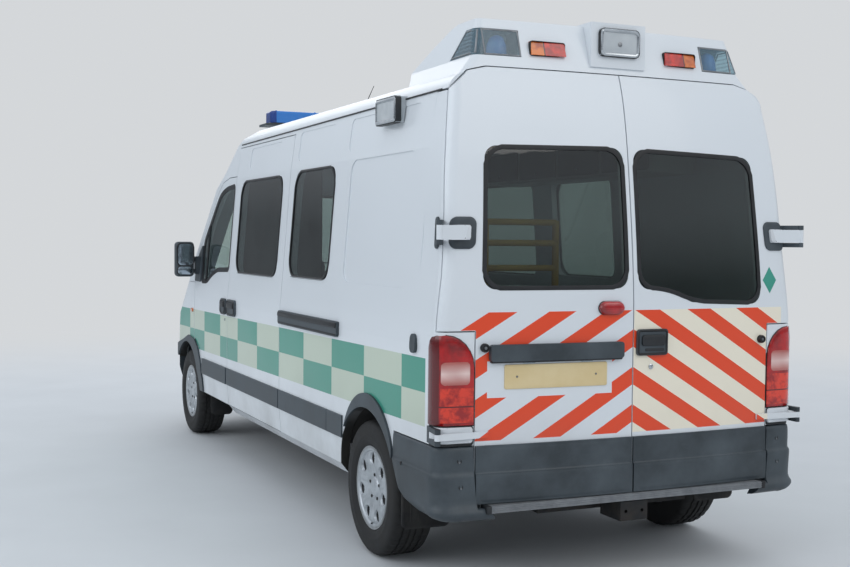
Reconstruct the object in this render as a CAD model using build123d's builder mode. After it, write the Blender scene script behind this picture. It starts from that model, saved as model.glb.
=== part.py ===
from build123d import *
import math
import os

os.makedirs("parts", exist_ok=True)

# High-roof, long-wheelbase van ambulance. Millimetres: +X is the vehicle's left, -Y its front, +Z up.
# The origin is on the ground under the middle of the body.

# Overall sizes
LENGTH = 5899
WHEELBASE = 4078
REAR_OVERHANG = 945
REAR_AXLE = LENGTH / 2 - REAR_OVERHANG
FRONT_AXLE = REAR_AXLE - WHEELBASE
WALL = 50
GAP = 6


def aft(distance):
    """Y of a point this far behind the rear axle."""
    return REAR_AXLE + distance


# Wheels and steering
TYRE_R = 345
TYRE_WIDTH = 225
RIM_R = 212
WHEEL_X = 862
KINGPIN_X = 765
SPINDLE_R = 22
ARCH_R = 412

# Side section: height, half width, from the tucked sill to the gutter
SIDE = ((340, 930), (400, 978), (560, 992), (1130, 992), (2040, 920), (2300, 885))
SHOULDER_X = 800
SHOULDER_Z = 2378
CROWN_Z = 2482

# Seams along the side
DOOR_SEAM = aft(-2810)
SLIDE_REAR = aft(-1515)
WING_SEAM = aft(-3852)
PANEL_SEAM = aft(600)
DOOR_BOTTOM = 395
SLIDE_TOP = 2262

# Side windows: front, rear, bottom, top
SLIDE_WINDOW = (aft(-2650), aft(-1660), 1365, 2010)
REAR_WINDOW = (aft(-1400), aft(-670), 1380, 2020)
BLANK_PANEL = (aft(-430), aft(470), 1380, 2035)
SLIDE_PRESSING = (aft(-2500), aft(-1760), 2085, 2235)
UPPER_PRESSINGS = ((aft(-1400), aft(-750), 2085, 2262), (aft(-500), aft(450), 2085, 2262))
WINDOW_R = 75
GLASS = 6

# Rear end: height, rear face's centre line behind the rear axle
REAR_LEVELS = ((1130, 906), (1450, 899), (1750, 870), (2040, 833), (2300, 782), (2450, 728))
REAR_BOW = 0.0476e-3
REAR_CORNER = 60
SHUT_DEPTH = 71
CORNER_LOW = 696
REAR_DOOR_LOW = 432
REAR_LOW = 340
REAR_DOOR_TOP = 2405
LAMP_EDGE = 815
LAMP_TOP = 1205
HINGE_PIN = (1003, aft(893))

# Front end by level: height, side X, side Y where the corner starts, corner radius.
# The corner turns 60 degrees and one front arc closes the rest.
FRONT_LEVELS = (
    (330, 968, -2270, 500),
    (520, 998, -2318, 500),
    (832, 998, -2312, 500),
    (975, 996, -2296, 480),
    (1250, 988, -2012, 380),
    (1388, 977, -1938, 180),
    (1980, 930, -1347, 170),
    (2096, 915, -1125, 170),
    (2277, 893, -854, 170),
    (2324, 890, -699, 230),
    (2351, 890, -353, 620),
    (2400, 890, -82, 750),
    (2450, 890, 184, 800),
    (2500, 890, 494, 800),
)


def side_x(z):
    """Half width of the body side at a height."""
    for (z0, x0), (z1, x1) in zip(SIDE, SIDE[1:]):
        if z <= z1:
            return x0 + (x1 - x0) * (z - z0) / (z1 - z0)
    return SIDE[-1][1]


def rear_y(z):
    """Y of the rear face's centre line at a height."""
    levels = ((340, 900),) + REAR_LEVELS
    for (z0, y0), (z1, y1) in zip(levels, levels[1:]):
        if z <= z1:
            return aft(y0 + (y1 - y0) * (z - z0) / (z1 - z0))
    return aft(levels[-1][1])


def prism(plane, points, depth, radius=0, grow=0):
    """Straight prism over an outline, grown all round, then with its corners rounded alike."""
    with BuildPart() as solid:
        with BuildSketch(plane) as outline:
            with BuildLine():
                Polyline(*points, close=True)
            make_face()
            if grow:
                offset(amount=grow, kind=Kind.INTERSECTION)
            if radius:
                fillet(outline.vertices(), radius)
        extrude(amount=depth)
    return solid.part


def side_prism(points, radius=0, x_low=0, x_high=1500, grow=0):
    """Prism across the vehicle over (y, z) points."""
    return prism(Plane.YZ.offset(x_low), points, x_high - x_low, radius, grow)


def end_prism(points, y_low, y_high, radius=0, grow=0):
    """Prism along the vehicle over (x, z) points."""
    return prism(Plane.XZ.offset(-y_high), points, y_high - y_low, radius, grow)


def plan_prism(points, z_low, z_high, radius=0):
    """Upright prism over (x, y) points."""
    return prism(Plane.XY.offset(z_low), points, z_high - z_low, radius)


def box(x0, x1, y0, y1, z0, z1):
    """Block between two corners."""
    return plan_prism([(x0, y0), (x1, y0), (x1, y1), (x0, y1)], z0, z1)


def window_prism(window, grow=0, radius=WINDOW_R):
    """Rounded prism through a side window."""
    y0, y1, z0, z1 = window
    return side_prism([(y0, z0), (y1, z0), (y1, z1), (y0, z1)], radius + grow, grow=grow)


def side_slab(y_front, y_rear, z_low, z_high, low, high):
    """Slab that follows the left side, from low to high millimetres outside its surface."""
    heights = [z_low] + [z for z, x in SIDE if z_low < z < z_high] + [z_high]
    inner = [(side_x(z) + low, z) for z in heights]
    outer = [(side_x(z) + high, z) for z in reversed(heights)]
    return end_prism(inner + outer, y_front, y_rear)


def body_solid(inset, y_front, y_rear):
    """Whole body section drawn out along the vehicle, set in all round."""
    right = [(side_x(z) - inset, z) for z, x in SIDE]
    left = [(-x, z) for x, z in reversed(right)]
    gutter_x, gutter_z = right[-1]
    shoulder_x = SHOULDER_X - 0.7 * inset
    shoulder_z = SHOULDER_Z - 0.9 * inset
    knee_x = (gutter_x + shoulder_x) / 2 + 14
    knee_z = (gutter_z + shoulder_z) / 2 + 10
    with BuildPart() as solid:
        with BuildSketch(Plane.XZ.offset(-y_rear)):
            with BuildLine():
                Polyline(*right)
                ThreePointArc((gutter_x, gutter_z), (knee_x, knee_z), (shoulder_x, shoulder_z))
                ThreePointArc((shoulder_x, shoulder_z), (0, CROWN_Z - inset), (-shoulder_x, shoulder_z))
                ThreePointArc((-shoulder_x, shoulder_z), (-knee_x, knee_z), (-gutter_x, gutter_z))
                Polyline(*left)
                Line(left[-1], right[0])
            make_face()
        extrude(amount=y_rear - y_front)
    return solid.part


FRONT_BACK = LENGTH / 2


def front_face(level, inset):
    """Plan outline of the front end at one level, set in all round."""
    z, x, y, radius = level
    x -= inset
    y += 1.2 * inset
    radius -= inset
    half = math.radians(30)
    px = x - radius * (1 - math.cos(2 * half))
    py = y - radius * math.sin(2 * half)
    mx = x - radius * (1 - math.cos(half))
    my = y - radius * math.sin(half)
    cy = py - px * math.tan(half / 2)
    with BuildSketch(Plane.XY.offset(z)) as face:
        with BuildLine():
            Polyline((-x, y), (-x, FRONT_BACK), (x, FRONT_BACK), (x, y))
            ThreePointArc((x, y), (mx, my), (px, py))
            ThreePointArc((px, py), (0, cy), (-px, py))
            ThreePointArc((-px, py), (-mx, my), (-x, y))
        make_face()
    return face.sketch.face()


def nosed_solid(inset, y_front, y_rear):
    """Length of the body with its front end drawn through the levels."""
    with BuildPart() as solid:
        loft(sections=[front_face(level, inset) for level in FRONT_LEVELS], ruled=True)
        add(body_solid(inset, y_front, y_rear), mode=Mode.INTERSECT)
    return solid.part


def front_solid(inset):
    """Front end, as far back as the cab seam."""
    return nosed_solid(inset, -LENGTH, DOOR_SEAM + inset)


def rear_outline(z, x, y, radius, back):
    """Plan outline at a height: straight sides, round corners, bowed rear edge with its middle at y."""
    cx = x - radius
    slope = 2 * REAR_BOW * cx
    arc_x = cx + radius * math.sin(slope)
    arc_y = y - REAR_BOW * arc_x**2
    cy = arc_y - radius * math.cos(slope)
    diagonal = radius * math.sqrt(0.5)
    with BuildSketch(Plane.XY.offset(z)) as face:
        with BuildLine():
            Polyline((x, cy), (x, back), (-x, back), (-x, cy))
            ThreePointArc((-x, cy), (-cx - diagonal, cy + diagonal), (-arc_x, arc_y))
            ThreePointArc((-arc_x, arc_y), (0, y), (arc_x, arc_y))
            ThreePointArc((arc_x, arc_y), (cx + diagonal, cy + diagonal), (x, cy))
        make_face()
    return face.sketch.face()


def rear_face(z, y, inset):
    """Plan outline of the rear end at one level, set in all round."""
    back = PANEL_SEAM - 2 * max(inset, 0)
    return rear_outline(z, side_x(z) - inset, aft(y) - inset, REAR_CORNER - 0.6 * inset, back)


def rear_solid(inset):
    """Rear end of the body: upright to the waist, then leaning forward to the roof."""
    waist, y = REAR_LEVELS[0]
    with BuildPart() as solid:
        loft(sections=[rear_face(z, y, inset) for z, y in REAR_LEVELS])
        extrude(rear_face(waist, y, inset), amount=waist - REAR_LOW, dir=(0, 0, -1))
    return solid.part


def rear_layer(low, high, *zones):
    """Layer of the rear end between two distances outside its surface, kept within all the zones."""
    return common(shell(rear_solid(-high), rear_solid(-low)), *zones)


def shell(outer, inner):
    """What lies between two solids."""
    with BuildPart() as hollow:
        add(outer)
        add(inner, mode=Mode.SUBTRACT)
    return hollow.part


def common(first, *others):
    """What all the solids share."""
    with BuildPart() as piece:
        add(first)
        for other in others:
            add(other, mode=Mode.INTERSECT)
    return piece.part


def mirrored(part):
    """The same piece on the other side."""
    with BuildPart() as other:
        add(part)
        mirror(about=Plane.YZ, mode=Mode.REPLACE)
    return other.part


def both_sides(part):
    """A left piece and its right-hand twin in one node."""
    with BuildPart() as pair:
        add(part)
        mirror(about=Plane.YZ)
    return pair.part


def save(part, name):
    """Label a finished piece and write it."""
    part.label = name
    export_step(part, f"parts/{name}.step")

# Envelopes that the panels are cut from
front_outer = front_solid(0)
front_inner = front_solid(WALL)
front_skin = shell(front_outer, front_inner)
rear_outer = rear_solid(0)
rear_inner = rear_solid(WALL)
rear_skin = shell(rear_outer, rear_inner)


def rear_arch(radius):
    """Upright round opening for a rear wheel, seen from the side."""
    with BuildPart() as arch:
        with BuildSketch(Plane.YZ.offset(600)):
            with Locations((REAR_AXLE, TYRE_R)):
                Circle(radius)
        extrude(amount=600)
    return arch.part


def front_arch(radius):
    """Upright round opening for a front wheel, seen from the side."""
    with BuildPart() as arch:
        with BuildSketch(Plane.YZ.offset(500)):
            with Locations((FRONT_AXLE, TYRE_R)):
                Circle(radius)
        extrude(amount=700)
    return arch.part


# Outline of a front door seen from the side, and its glass
DOOR_OUTLINE = [
    (DOOR_SEAM - GAP / 2, DOOR_BOTTOM),
    (DOOR_SEAM - GAP / 2, 2050),
    (-1010, 2050),
    (-1190, 2022),
    (-1310, 1950),
    (WING_SEAM + GAP / 2, 1440),
    (WING_SEAM + GAP / 2, 815),
    (-1700, 740),
    (-1600, 620),
    (-1560, 500),
    (-1560, DOOR_BOTTOM),
]
DOOR_GLASS = [
    (-838, 1375),
    (-838, 1992),
    (-1045, 1980),
    (-1165, 1958),
    (-1255, 1925),
    (-1335, 1860),
    (-1640, 1580),
    (-1640, 1262),
    (-1475, 1266),
    (-1325, 1325),
    (-1170, 1364),
]
SHUT_LINE = [(rear_y(z) - SHUT_DEPTH, z) for z, y in ((400, 0),) + REAR_LEVELS]
DOOR_END = [
    (GAP / 2, REAR_DOOR_LOW),
    (LAMP_EDGE - GAP / 2, REAR_DOOR_LOW),
    (LAMP_EDGE - GAP / 2, LAMP_TOP + GAP / 2),
    (1100, LAMP_TOP + GAP / 2),
    (1100, 2294),
    (884, 2294),
    (790, REAR_DOOR_TOP - 22),
    (700, REAR_DOOR_TOP),
    (GAP / 2, REAR_DOOR_TOP),
]


def shut_prism(shift):
    """Everything behind the rear doors' leaning shut line."""
    line = [(y + shift, z) for y, z in SHUT_LINE]
    return side_prism(line + [(LENGTH, 2450), (LENGTH, 400)], x_low=-1500)


# Glass of the rear doors; the right one has its lower edge stepped down
LEFT_GLASS = [(28, 1392), (780, 1392), (745, 2040), (28, 2054)]
RIGHT_GLASS = [(28, 1386), (196, 1386), (336, 1322), (772, 1306), (742, 2034), (28, 2052)]
GLASS_R = 62
door_ends = both_sides(end_prism(DOOR_END, aft(600), LENGTH, 0, GAP))
door_head_cut = common(door_ends, shut_prism(-GAP))


# Body sides
def pressing(window, depth, radius):
    """Shallow rounded recess pressed into a side."""
    y0, y1, z0, z1 = window
    return common(side_slab(y0, y1, z0, z1, -depth, 2 * WALL), window_prism(window, 0, radius))


def body_side(openings):
    """Left body side from the cab seam to the rear corner, with its openings cut."""
    lamp_top = LAMP_TOP - GAP / 2
    lamp_edge = LAMP_EDGE + GAP / 2
    low_corner = [(lamp_edge, CORNER_LOW), (1100, CORNER_LOW), (1100, lamp_top), (lamp_edge, lamp_top)]
    post = [(830, lamp_top), (1100, lamp_top), (1100, 2290), (830, 2290)]
    with BuildPart() as wall:
        add(side_slab(DOOR_SEAM + GAP / 2, PANEL_SEAM, 340, 2300, -WALL, 0))
        add(common(shell(rear_skin, shut_prism(-GAP)), end_prism(post, PANEL_SEAM, LENGTH)))
        add(common(rear_skin, end_prism(low_corner, PANEL_SEAM, LENGTH)))
        for opening in openings:
            add(opening, mode=Mode.SUBTRACT)
        for panel in UPPER_PRESSINGS:
            add(pressing(panel, 4, 40), mode=Mode.SUBTRACT)
        add(pressing(BLANK_PANEL, 6, WINDOW_R), mode=Mode.SUBTRACT)
        add(rear_arch(ARCH_R), mode=Mode.SUBTRACT)
        add(box(600, 1100, aft(360), LENGTH, 300, CORNER_LOW), mode=Mode.SUBTRACT)
    return wall.part


slide_opening = side_prism(
    [(DOOR_SEAM, DOOR_BOTTOM), (SLIDE_REAR, DOOR_BOTTOM), (SLIDE_REAR, SLIDE_TOP), (DOOR_SEAM, SLIDE_TOP)]
)
with BuildPart() as left_side_panel:
    add(body_side([slide_opening, window_prism(REAR_WINDOW)]))
save(left_side_panel.part, "left_side_panel")

with BuildPart() as right_side_panel:
    slide_pressing = pressing(SLIDE_PRESSING, 4, 40)
    add(mirrored(body_side([window_prism(SLIDE_WINDOW), window_prism(REAR_WINDOW), slide_pressing])))
save(right_side_panel.part, "right_side_panel")

# Sliding side door, shut
with BuildPart() as sliding_door:
    add(side_slab(DOOR_SEAM + GAP / 2, SLIDE_REAR - GAP, DOOR_BOTTOM + GAP, SLIDE_TOP - GAP, -WALL, 0))
    add(window_prism(SLIDE_WINDOW), mode=Mode.SUBTRACT)
    add(slide_pressing, mode=Mode.SUBTRACT)
save(sliding_door.part, "sliding_door")

# Fixed side glass, sealed into its openings
with BuildPart() as side_windows:
    for window in (SLIDE_WINDOW, REAR_WINDOW):
        y0, y1, z0, z1 = window
        pane = common(side_slab(y0, y1, z0, z1, -GLASS - 2, -2), window_prism(window, -0.5))
        add(both_sides(pane))
save(side_windows.part, "side_windows")

# Roof from the cab to the header over the rear doors
ROOF_WALL = 40
ROOF_REAR = aft(715)
with BuildPart() as roof_panel:
    roof_inner = nosed_solid(ROOF_WALL, DOOR_SEAM - 1, ROOF_REAR + 1)
    add(shell(nosed_solid(0, DOOR_SEAM, ROOF_REAR), roof_inner))
    add(box(-1200, 1200, -LENGTH, LENGTH, 0, 2300), mode=Mode.SUBTRACT)
    add(door_head_cut, mode=Mode.SUBTRACT)
save(roof_panel.part, "roof_panel")

# Cab: wings, bonnet, windscreen, pillars and roof cap
BONNET_X = 700
BONNET_LOW = 985
BONNET_TOP = 1246
BUMPER_TOP = 745
BUMPER_REAR = -2460
COWL_LOW = 1254
WINDSCREEN = [(-775, 1300), (775, 1300), (735, 1968), (-735, 1968)]
HEADLAMP = [(500, 792), (1100, 800), (1100, 962), (560, 962), (520, 925)]
HEADLAMP_REAR = -2480
door_outline = side_prism(DOOR_OUTLINE, x_low=700)
door_past_seam = [(DOOR_SEAM + 20, DOOR_BOTTOM), (DOOR_SEAM + 20, 2050)]
door_cut = side_prism(door_past_seam + DOOR_OUTLINE[2:], x_low=700, grow=GAP)
windscreen_cut = end_prism(WINDSCREEN, -LENGTH, -1200, 70)
lamp_zone = end_prism(HEADLAMP, -LENGTH, HEADLAMP_REAR, 16)
lamp_cut = end_prism(HEADLAMP, -LENGTH, HEADLAMP_REAR, 16, GAP / 2)

with BuildPart() as bonnet:
    add(common(front_skin, box(-BONNET_X + 3, BONNET_X - 3, -LENGTH, -2150, BONNET_LOW, BONNET_TOP)))
save(bonnet.part, "bonnet")

# Fog lamp: middle, recess and lens radius
FOG = (640, 470)
FOG_CUT = 58
FOG_R = 54


def fog_cylinder(radius):
    """Round bar along the vehicle through the left fog lamp."""
    with BuildPart() as bar:
        with BuildSketch(Plane.XZ.offset(-HEADLAMP_REAR)):
            with Locations(FOG):
                Circle(radius)
        extrude(amount=LENGTH)
    return bar.part


# Lower intake slots of the bumper
INTAKE_Z = (420, 458, 496)
with BuildPart() as front_bumper:
    add(common(front_skin, box(-1100, 1100, -LENGTH, BUMPER_REAR, 330, BUMPER_TOP)))
    add(both_sides(front_arch(ARCH_R)), mode=Mode.SUBTRACT)
    for z in INTAKE_Z:
        add(box(-430, 430, -LENGTH, -2600, z, z + 24), mode=Mode.SUBTRACT)
    add(both_sides(fog_cylinder(FOG_CUT)), mode=Mode.SUBTRACT)
save(front_bumper.part, "front_bumper")

with BuildPart() as headlamps:
    add(both_sides(common(front_skin, lamp_zone)))
    add(both_sides(common(shell(front_solid(12), front_inner), fog_cylinder(FOG_R))))
save(headlamps.part, "headlamps")

GRILLE_X = 640
SLAT_Z = (790, 826, 862, 898)
SLAT_OPEN = 22
with BuildPart() as grille:
    zone = box(-GRILLE_X, GRILLE_X, -LENGTH, HEADLAMP_REAR, BUMPER_TOP + 3, BONNET_LOW - 8)
    add(common(front_skin, zone))
    add(both_sides(lamp_cut), mode=Mode.SUBTRACT)
    for z in SLAT_Z:
        add(box(-440, -8, -LENGTH, -2000, z, z + SLAT_OPEN), mode=Mode.SUBTRACT)
        add(box(8, 440, -LENGTH, -2000, z, z + SLAT_OPEN), mode=Mode.SUBTRACT)
save(grille.part, "grille")

with BuildPart() as windscreen:
    add(shell(front_solid(4), front_solid(4 + GLASS)))
    add(windscreen_cut, mode=Mode.INTERSECT)
save(windscreen.part, "windscreen")

# The wing's arch leg, under the wing's main panel: front, rear, bottom, top
WING_LEG = (-1700, -1560, 395, 640)
WING_ARCH = (-2460, -1700, 600, BUMPER_TOP + 3)
with BuildPart() as wing:
    add(common(front_skin, box(500, 1100, -LENGTH, WING_SEAM - GAP / 2, BUMPER_TOP + 3, BONNET_TOP + 4)))
    for front, rear, low, high in (WING_LEG, WING_ARCH):
        add(common(front_skin, box(700, 1100, front, rear, low, high)))
    add(front_arch(ARCH_R), mode=Mode.SUBTRACT)
    add(door_cut, mode=Mode.SUBTRACT)
    add(box(-BONNET_X - 3, BONNET_X + 3, -LENGTH, -2000, BONNET_LOW - 5, 1300), mode=Mode.SUBTRACT)
    add(box(0, GRILLE_X + 3, -LENGTH, -2000, 0, 1300), mode=Mode.SUBTRACT)
    add(lamp_cut, mode=Mode.SUBTRACT)
with BuildPart() as front_wings:
    add(both_sides(wing.part))
save(front_wings.part, "front_wings")

with BuildPart() as cab_shell:
    add(common(front_skin, box(-1100, 1100, -LENGTH, DOOR_SEAM, COWL_LOW, 2600)))
    add(both_sides(door_cut), mode=Mode.SUBTRACT)
    add(windscreen_cut, mode=Mode.SUBTRACT)
    post = side_slab(DOOR_SEAM - 40, DOOR_SEAM + 50, DOOR_BOTTOM, 2200, -WALL - 60, -WALL - GAP)
    add(both_sides(post))
    cap = side_slab(DOOR_SEAM - 40, DOOR_SEAM, 2070, 2200, -WALL - 60, -20)
    add(both_sides(cap))
save(cab_shell.part, "cab_shell")

# Front doors: shell and glass
glass_cut = side_prism(DOOR_GLASS, 25, x_low=700)
with BuildPart() as front_left_door:
    add(common(front_skin, door_outline))
    add(glass_cut, mode=Mode.SUBTRACT)
save(front_left_door.part, "front_left_door")
with BuildPart() as front_right_door:
    add(mirrored(front_left_door.part))
save(front_right_door.part, "front_right_door")

with BuildPart() as front_left_glass:
    add(shell(front_solid(4), front_solid(4 + GLASS)))
    add(glass_cut, mode=Mode.INTERSECT)
save(front_left_glass.part, "front_left_glass")
with BuildPart() as front_right_glass:
    add(mirrored(front_left_glass.part))
save(front_right_glass.part, "front_right_glass")

# Dark trim along the sides
# Front flare's outer edge: distance behind the front axle, height
FRONT_FLARE = (
    (-386, 700),
    (-300, 730),
    (-138, 765),
    (54, 815),
    (281, 791),
    (401, 728),
    (478, 645),
    (511, 540),
    (511, 400),
    (300, 400),
    (0, 500),
    (-386, 640),
)
front_lip = shell(front_solid(-12), front_outer)
with BuildPart() as flare_ring:
    with BuildSketch(Plane.YZ.offset(900)):
        with Locations((REAR_AXLE + 20, TYRE_R + 125)):
            Circle(362)
        with Locations((REAR_AXLE, TYRE_R)):
            Circle(ARCH_R, mode=Mode.SUBTRACT)
    extrude(amount=200)
with BuildPart() as front_flare:
    add(side_prism([(FRONT_AXLE + y, z) for y, z in FRONT_FLARE], x_low=900))
    add(front_lip, mode=Mode.INTERSECT)
    add(front_arch(ARCH_R), mode=Mode.SUBTRACT)
    add(door_cut, mode=Mode.SUBTRACT)
    add(box(900, 1100, -LENGTH, BUMPER_REAR + 5, 0, 1000), mode=Mode.SUBTRACT)
with BuildPart() as wheel_arch_flares:
    add(both_sides(common(flare_ring.part, side_slab(aft(-345), aft(355), 560, 840, 0, 12))))
    add(both_sides(front_flare.part))
save(wheel_arch_flares.part, "wheel_arch_flares")

RUB_LOW = 547
RUB_HIGH = 666
RUB_PROUD = 9
# Rub strips on the body side: front, rear
RUB_STRIPS = (
    (DOOR_SEAM + GAP, SLIDE_REAR - 2 * GAP),
    (SLIDE_REAR + GAP, aft(-600)),
    (aft(-594), aft(-352)),
)
# Left side only, front, rear, bottom, top: sliding rail's cover and sliding door's handle
RAIL_COVER = (aft(-1500), aft(-420), 1082, 1165)
SLIDE_HANDLE = (aft(-2790), aft(-2560), 1052, 1168)
DOOR_CATCH = (aft(577), aft(637), 1092, 1180)
with BuildPart() as side_trim:
    for front, rear in RUB_STRIPS:
        add(both_sides(side_slab(front, rear, RUB_LOW, RUB_HIGH, 0, RUB_PROUD)))
    for zone, proud, radius in ((RAIL_COVER, 18, 20), (SLIDE_HANDLE, 14, 35)):
        y0, y1, z0, z1 = zone
        add(common(side_slab(y0, y1, z0, z1, 0, proud), window_prism(zone, 0, radius)))
    y0, y1, z0, z1 = DOOR_CATCH
    catch = common(side_slab(y0, y1, z0, z1, 0, 15), window_prism(DOOR_CATCH, 0, 25))
    add(both_sides(shell(catch, rear_outer)))
save(side_trim.part, "side_trim")

# Rear corners: bumper, step and lamps. Bumper's side outline: distance behind the rear axle, height
BUMPER_SIDE = ((366, 690), (366, 560), (441, 434), (552, 377), (612, 356), (980, 356), (980, 690))
BUMPER_LEDGE = 568
BUMPER_FRONT = 366
BUMPER_LOW = 356
BUMPER_HIGH = 690
STEP_Z = 395
with BuildPart() as bumper_corner:
    outline = side_prism([(aft(y), z) for y, z in BUMPER_SIDE], x_low=LAMP_EDGE + 4)
    lower = box(0, 1100, 0, LENGTH, 0, BUMPER_LEDGE)
    front, low, high = aft(BUMPER_FRONT), BUMPER_LOW, BUMPER_HIGH
    add(common(side_slab(front, PANEL_SEAM, low, high, -WALL, 6), outline))
    add(common(side_slab(front, PANEL_SEAM, low, BUMPER_LEDGE, -WALL, 14), outline))
    add(rear_layer(-WALL, 6, outline))
    add(rear_layer(-WALL, 14, outline, lower))
    foot = box(776, 900, aft(868), aft(945), 360, 415)
    add(foot)
with BuildPart() as rear_bumper:
    add(both_sides(bumper_corner.part))
save(rear_bumper.part, "rear_bumper")

STEP_ARMS = (-500, 0, 500)
with BuildPart() as rear_step:
    add(box(-770, 770, aft(865), aft(935), STEP_Z, STEP_Z + 30))
    for x in STEP_ARMS:
        add(box(x - 20, x + 20, aft(650), aft(870), STEP_Z + 5, STEP_Z + 30))
save(rear_step.part, "rear_step")

# Tail lamp seen from behind, with its top drawn up and outwards
TAIL_LAMP = [
    (LAMP_EDGE + 4, 784),
    (1100, 784),
    (1100, 1196),
    (900, 1190),
    (850, 1166),
    (LAMP_EDGE + 4, 1110),
]
with BuildPart() as tail_lamps:
    add(both_sides(rear_layer(0, 7, end_prism(TAIL_LAMP, aft(775), LENGTH))))
save(tail_lamps.part, "tail_lamps")

# Rear door hinges: pins outside the corners, so that the doors fold back along the sides
PIN_R = 8
LUG = 22
HINGES = ((1590, 1700), (706, 780))


def hinge_bracket(low, high):
    """Two lugs that carry a hinge pin beside the body's rear corner."""
    skin = side_x(high)
    root_y = min(rear_y(high) - SHUT_DEPTH - 2 * GAP, aft(815))
    pin_x, pin_y = HINGE_PIN
    web = [
        (skin - 12, root_y - 45),
        (skin + 8, root_y - 45),
        (pin_x + 14, pin_y),
        (pin_x - 12, pin_y),
        (skin - 12, root_y),
    ]
    with BuildPart() as bracket:
        add(plan_prism(web, low, high))
        with Locations((pin_x, pin_y, (low + high) / 2)):
            Cylinder(14, high - low)
        add(box(600, 1200, root_y - 22, LENGTH, low + LUG, high - LUG), mode=Mode.SUBTRACT)
        add(side_slab(aft(400), LENGTH, low - 1, high + 1, -400, 0), mode=Mode.SUBTRACT)
        with Locations((pin_x, pin_y, (low + high) / 2)):
            Cylinder(PIN_R, high - low)
    return bracket.part


def hinge_arm(low, high, pad_x, pad_y, tip_y):
    """Door strap from its pad on the rear face to the eye round the pin."""
    pin_x, pin_y = HINGE_PIN
    strap = [
        (pad_x - 60, pad_y - 20),
        (pad_x, tip_y),
        (pin_x - 8, pin_y - 11),
        (pin_x, pin_y + 11),
        (pad_x - 60, pad_y + 14),
    ]
    with BuildPart() as arm:
        add(plan_prism(strap, low + LUG + 1, high - LUG - 1))
        with Locations((pin_x, pin_y, (low + high) / 2)):
            Cylinder(14, high - low - 2 * LUG - 2)
            Cylinder(PIN_R + 0.05, high - low, mode=Mode.SUBTRACT)
    return arm.part


with BuildPart() as rear_hinges:
    for low, high in HINGES:
        add(both_sides(hinge_bracket(low, high)))
save(rear_hinges.part, "rear_hinges")

# Rear doors: skins with their straps, glass, cladding and fittings. Each is drawn on the left
def rear_door(glass):
    """Door skin with its window cut and its two hinge straps."""
    with BuildPart() as door:
        add(common(rear_skin, end_prism(DOOR_END, PANEL_SEAM - 200, LENGTH), shut_prism(0)))
        add(end_prism(glass, PANEL_SEAM - 200, LENGTH, GLASS_R), mode=Mode.SUBTRACT)
        add(hinge_arm(HINGES[0][0], HINGES[0][1], 900, aft(850), aft(846)))
        add(hinge_arm(HINGES[1][0], HINGES[1][1], 812, aft(876), aft(881)))
    return door.part


pane_layer = rear_layer(-3 - GLASS, -3, box(-1000, 1000, aft(730), LENGTH, 0, 3000))


def rear_pane(glass):
    """Pane set into a rear door's window."""
    return common(pane_layer, end_prism(glass, PANEL_SEAM, LENGTH, GLASS_R))


with BuildPart() as rear_left_door:
    add(rear_door(LEFT_GLASS))
save(rear_left_door.part, "rear_left_door")
with BuildPart() as rear_right_door:
    add(mirrored(rear_door(RIGHT_GLASS)))
save(rear_right_door.part, "rear_right_door")
with BuildPart() as rear_left_glass:
    add(rear_pane(LEFT_GLASS))
save(rear_left_glass.part, "rear_left_glass")
with BuildPart() as rear_right_glass:
    add(mirrored(rear_pane(RIGHT_GLASS)))
save(rear_right_glass.part, "rear_right_glass")

# Cladding along the foot of a door: bottom, top, how proud
CLADDING = ((REAR_DOOR_LOW, BUMPER_LEDGE, 18), (BUMPER_LEDGE, 692, 10))
GARNISH = [(64, 1069), (748, 1069), (748, 1145), (64, 1145)]
PULL = [(-16, 1074), (-190, 1074), (-190, 1199), (-16, 1199)]
with BuildPart() as cladding:
    for low, high, proud in CLADDING:
        add(rear_layer(0, proud, box(4, LAMP_EDGE - 4, PANEL_SEAM, LENGTH, low, high)))
with BuildPart() as rear_left_trim:
    add(cladding.part)
    add(rear_layer(0, 26, end_prism(GARNISH, aft(700), LENGTH, 16)))
save(rear_left_trim.part, "rear_left_trim")
with BuildPart() as rear_right_trim:
    add(mirrored(cladding.part))
    add(rear_layer(0, 12, end_prism(PULL, aft(700), LENGTH, 16)))
save(rear_right_trim.part, "rear_right_trim")

with BuildPart() as high_brake_lamp:
    add(rear_layer(0, 22, box(58, 193, aft(700), LENGTH, 1271, 1333)))
save(high_brake_lamp.part, "high_brake_lamp")

# Roof: lamp pod over the rear doors, alley lamps, light bar
roof_cut = body_solid(0, -LENGTH, ROOF_REAR)
POD_TIP = aft(-110)
POD_TOP = 2638
# Pod's plan by level: height, half width, rear face behind the rear axle
POD_LEVELS = ((2290, 884, 776), (2458, 752, 728), (POD_TOP, 712, 672))
# Pod's ridge seen from the side: distance behind the rear axle, height
POD_RIDGE = (
    (-110, 2420),
    (217, 2561),
    (332, 2604),
    (392, 2626),
    (452, POD_TOP),
    (800, POD_TOP),
    (800, 2280),
    (-110, 2280),
)
POD_PLAN = ((-900, 260), (-700, -110), (700, -110), (900, 260), (900, 800), (-900, 800))
POD_LAMP = (-152, 152, aft(560), aft(742), 2440, POD_TOP + 14)
BEACON = ((440, 2462), (800, 2462), (800, 2592), (560, 2592))
BEACON_X = 511
with BuildPart() as pod_form:
    loft(sections=[rear_outline(z, x, aft(y), 40, POD_TIP) for z, x, y in POD_LEVELS], ruled=True)
    add(side_prism([(aft(y), z) for y, z in POD_RIDGE], x_low=-1000, x_high=1000), mode=Mode.INTERSECT)
    add(plan_prism([(x, aft(y)) for x, y in POD_PLAN], 2200, 2700), mode=Mode.INTERSECT)
beacon_points = [(aft(y), z) for y, z in BEACON]
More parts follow.
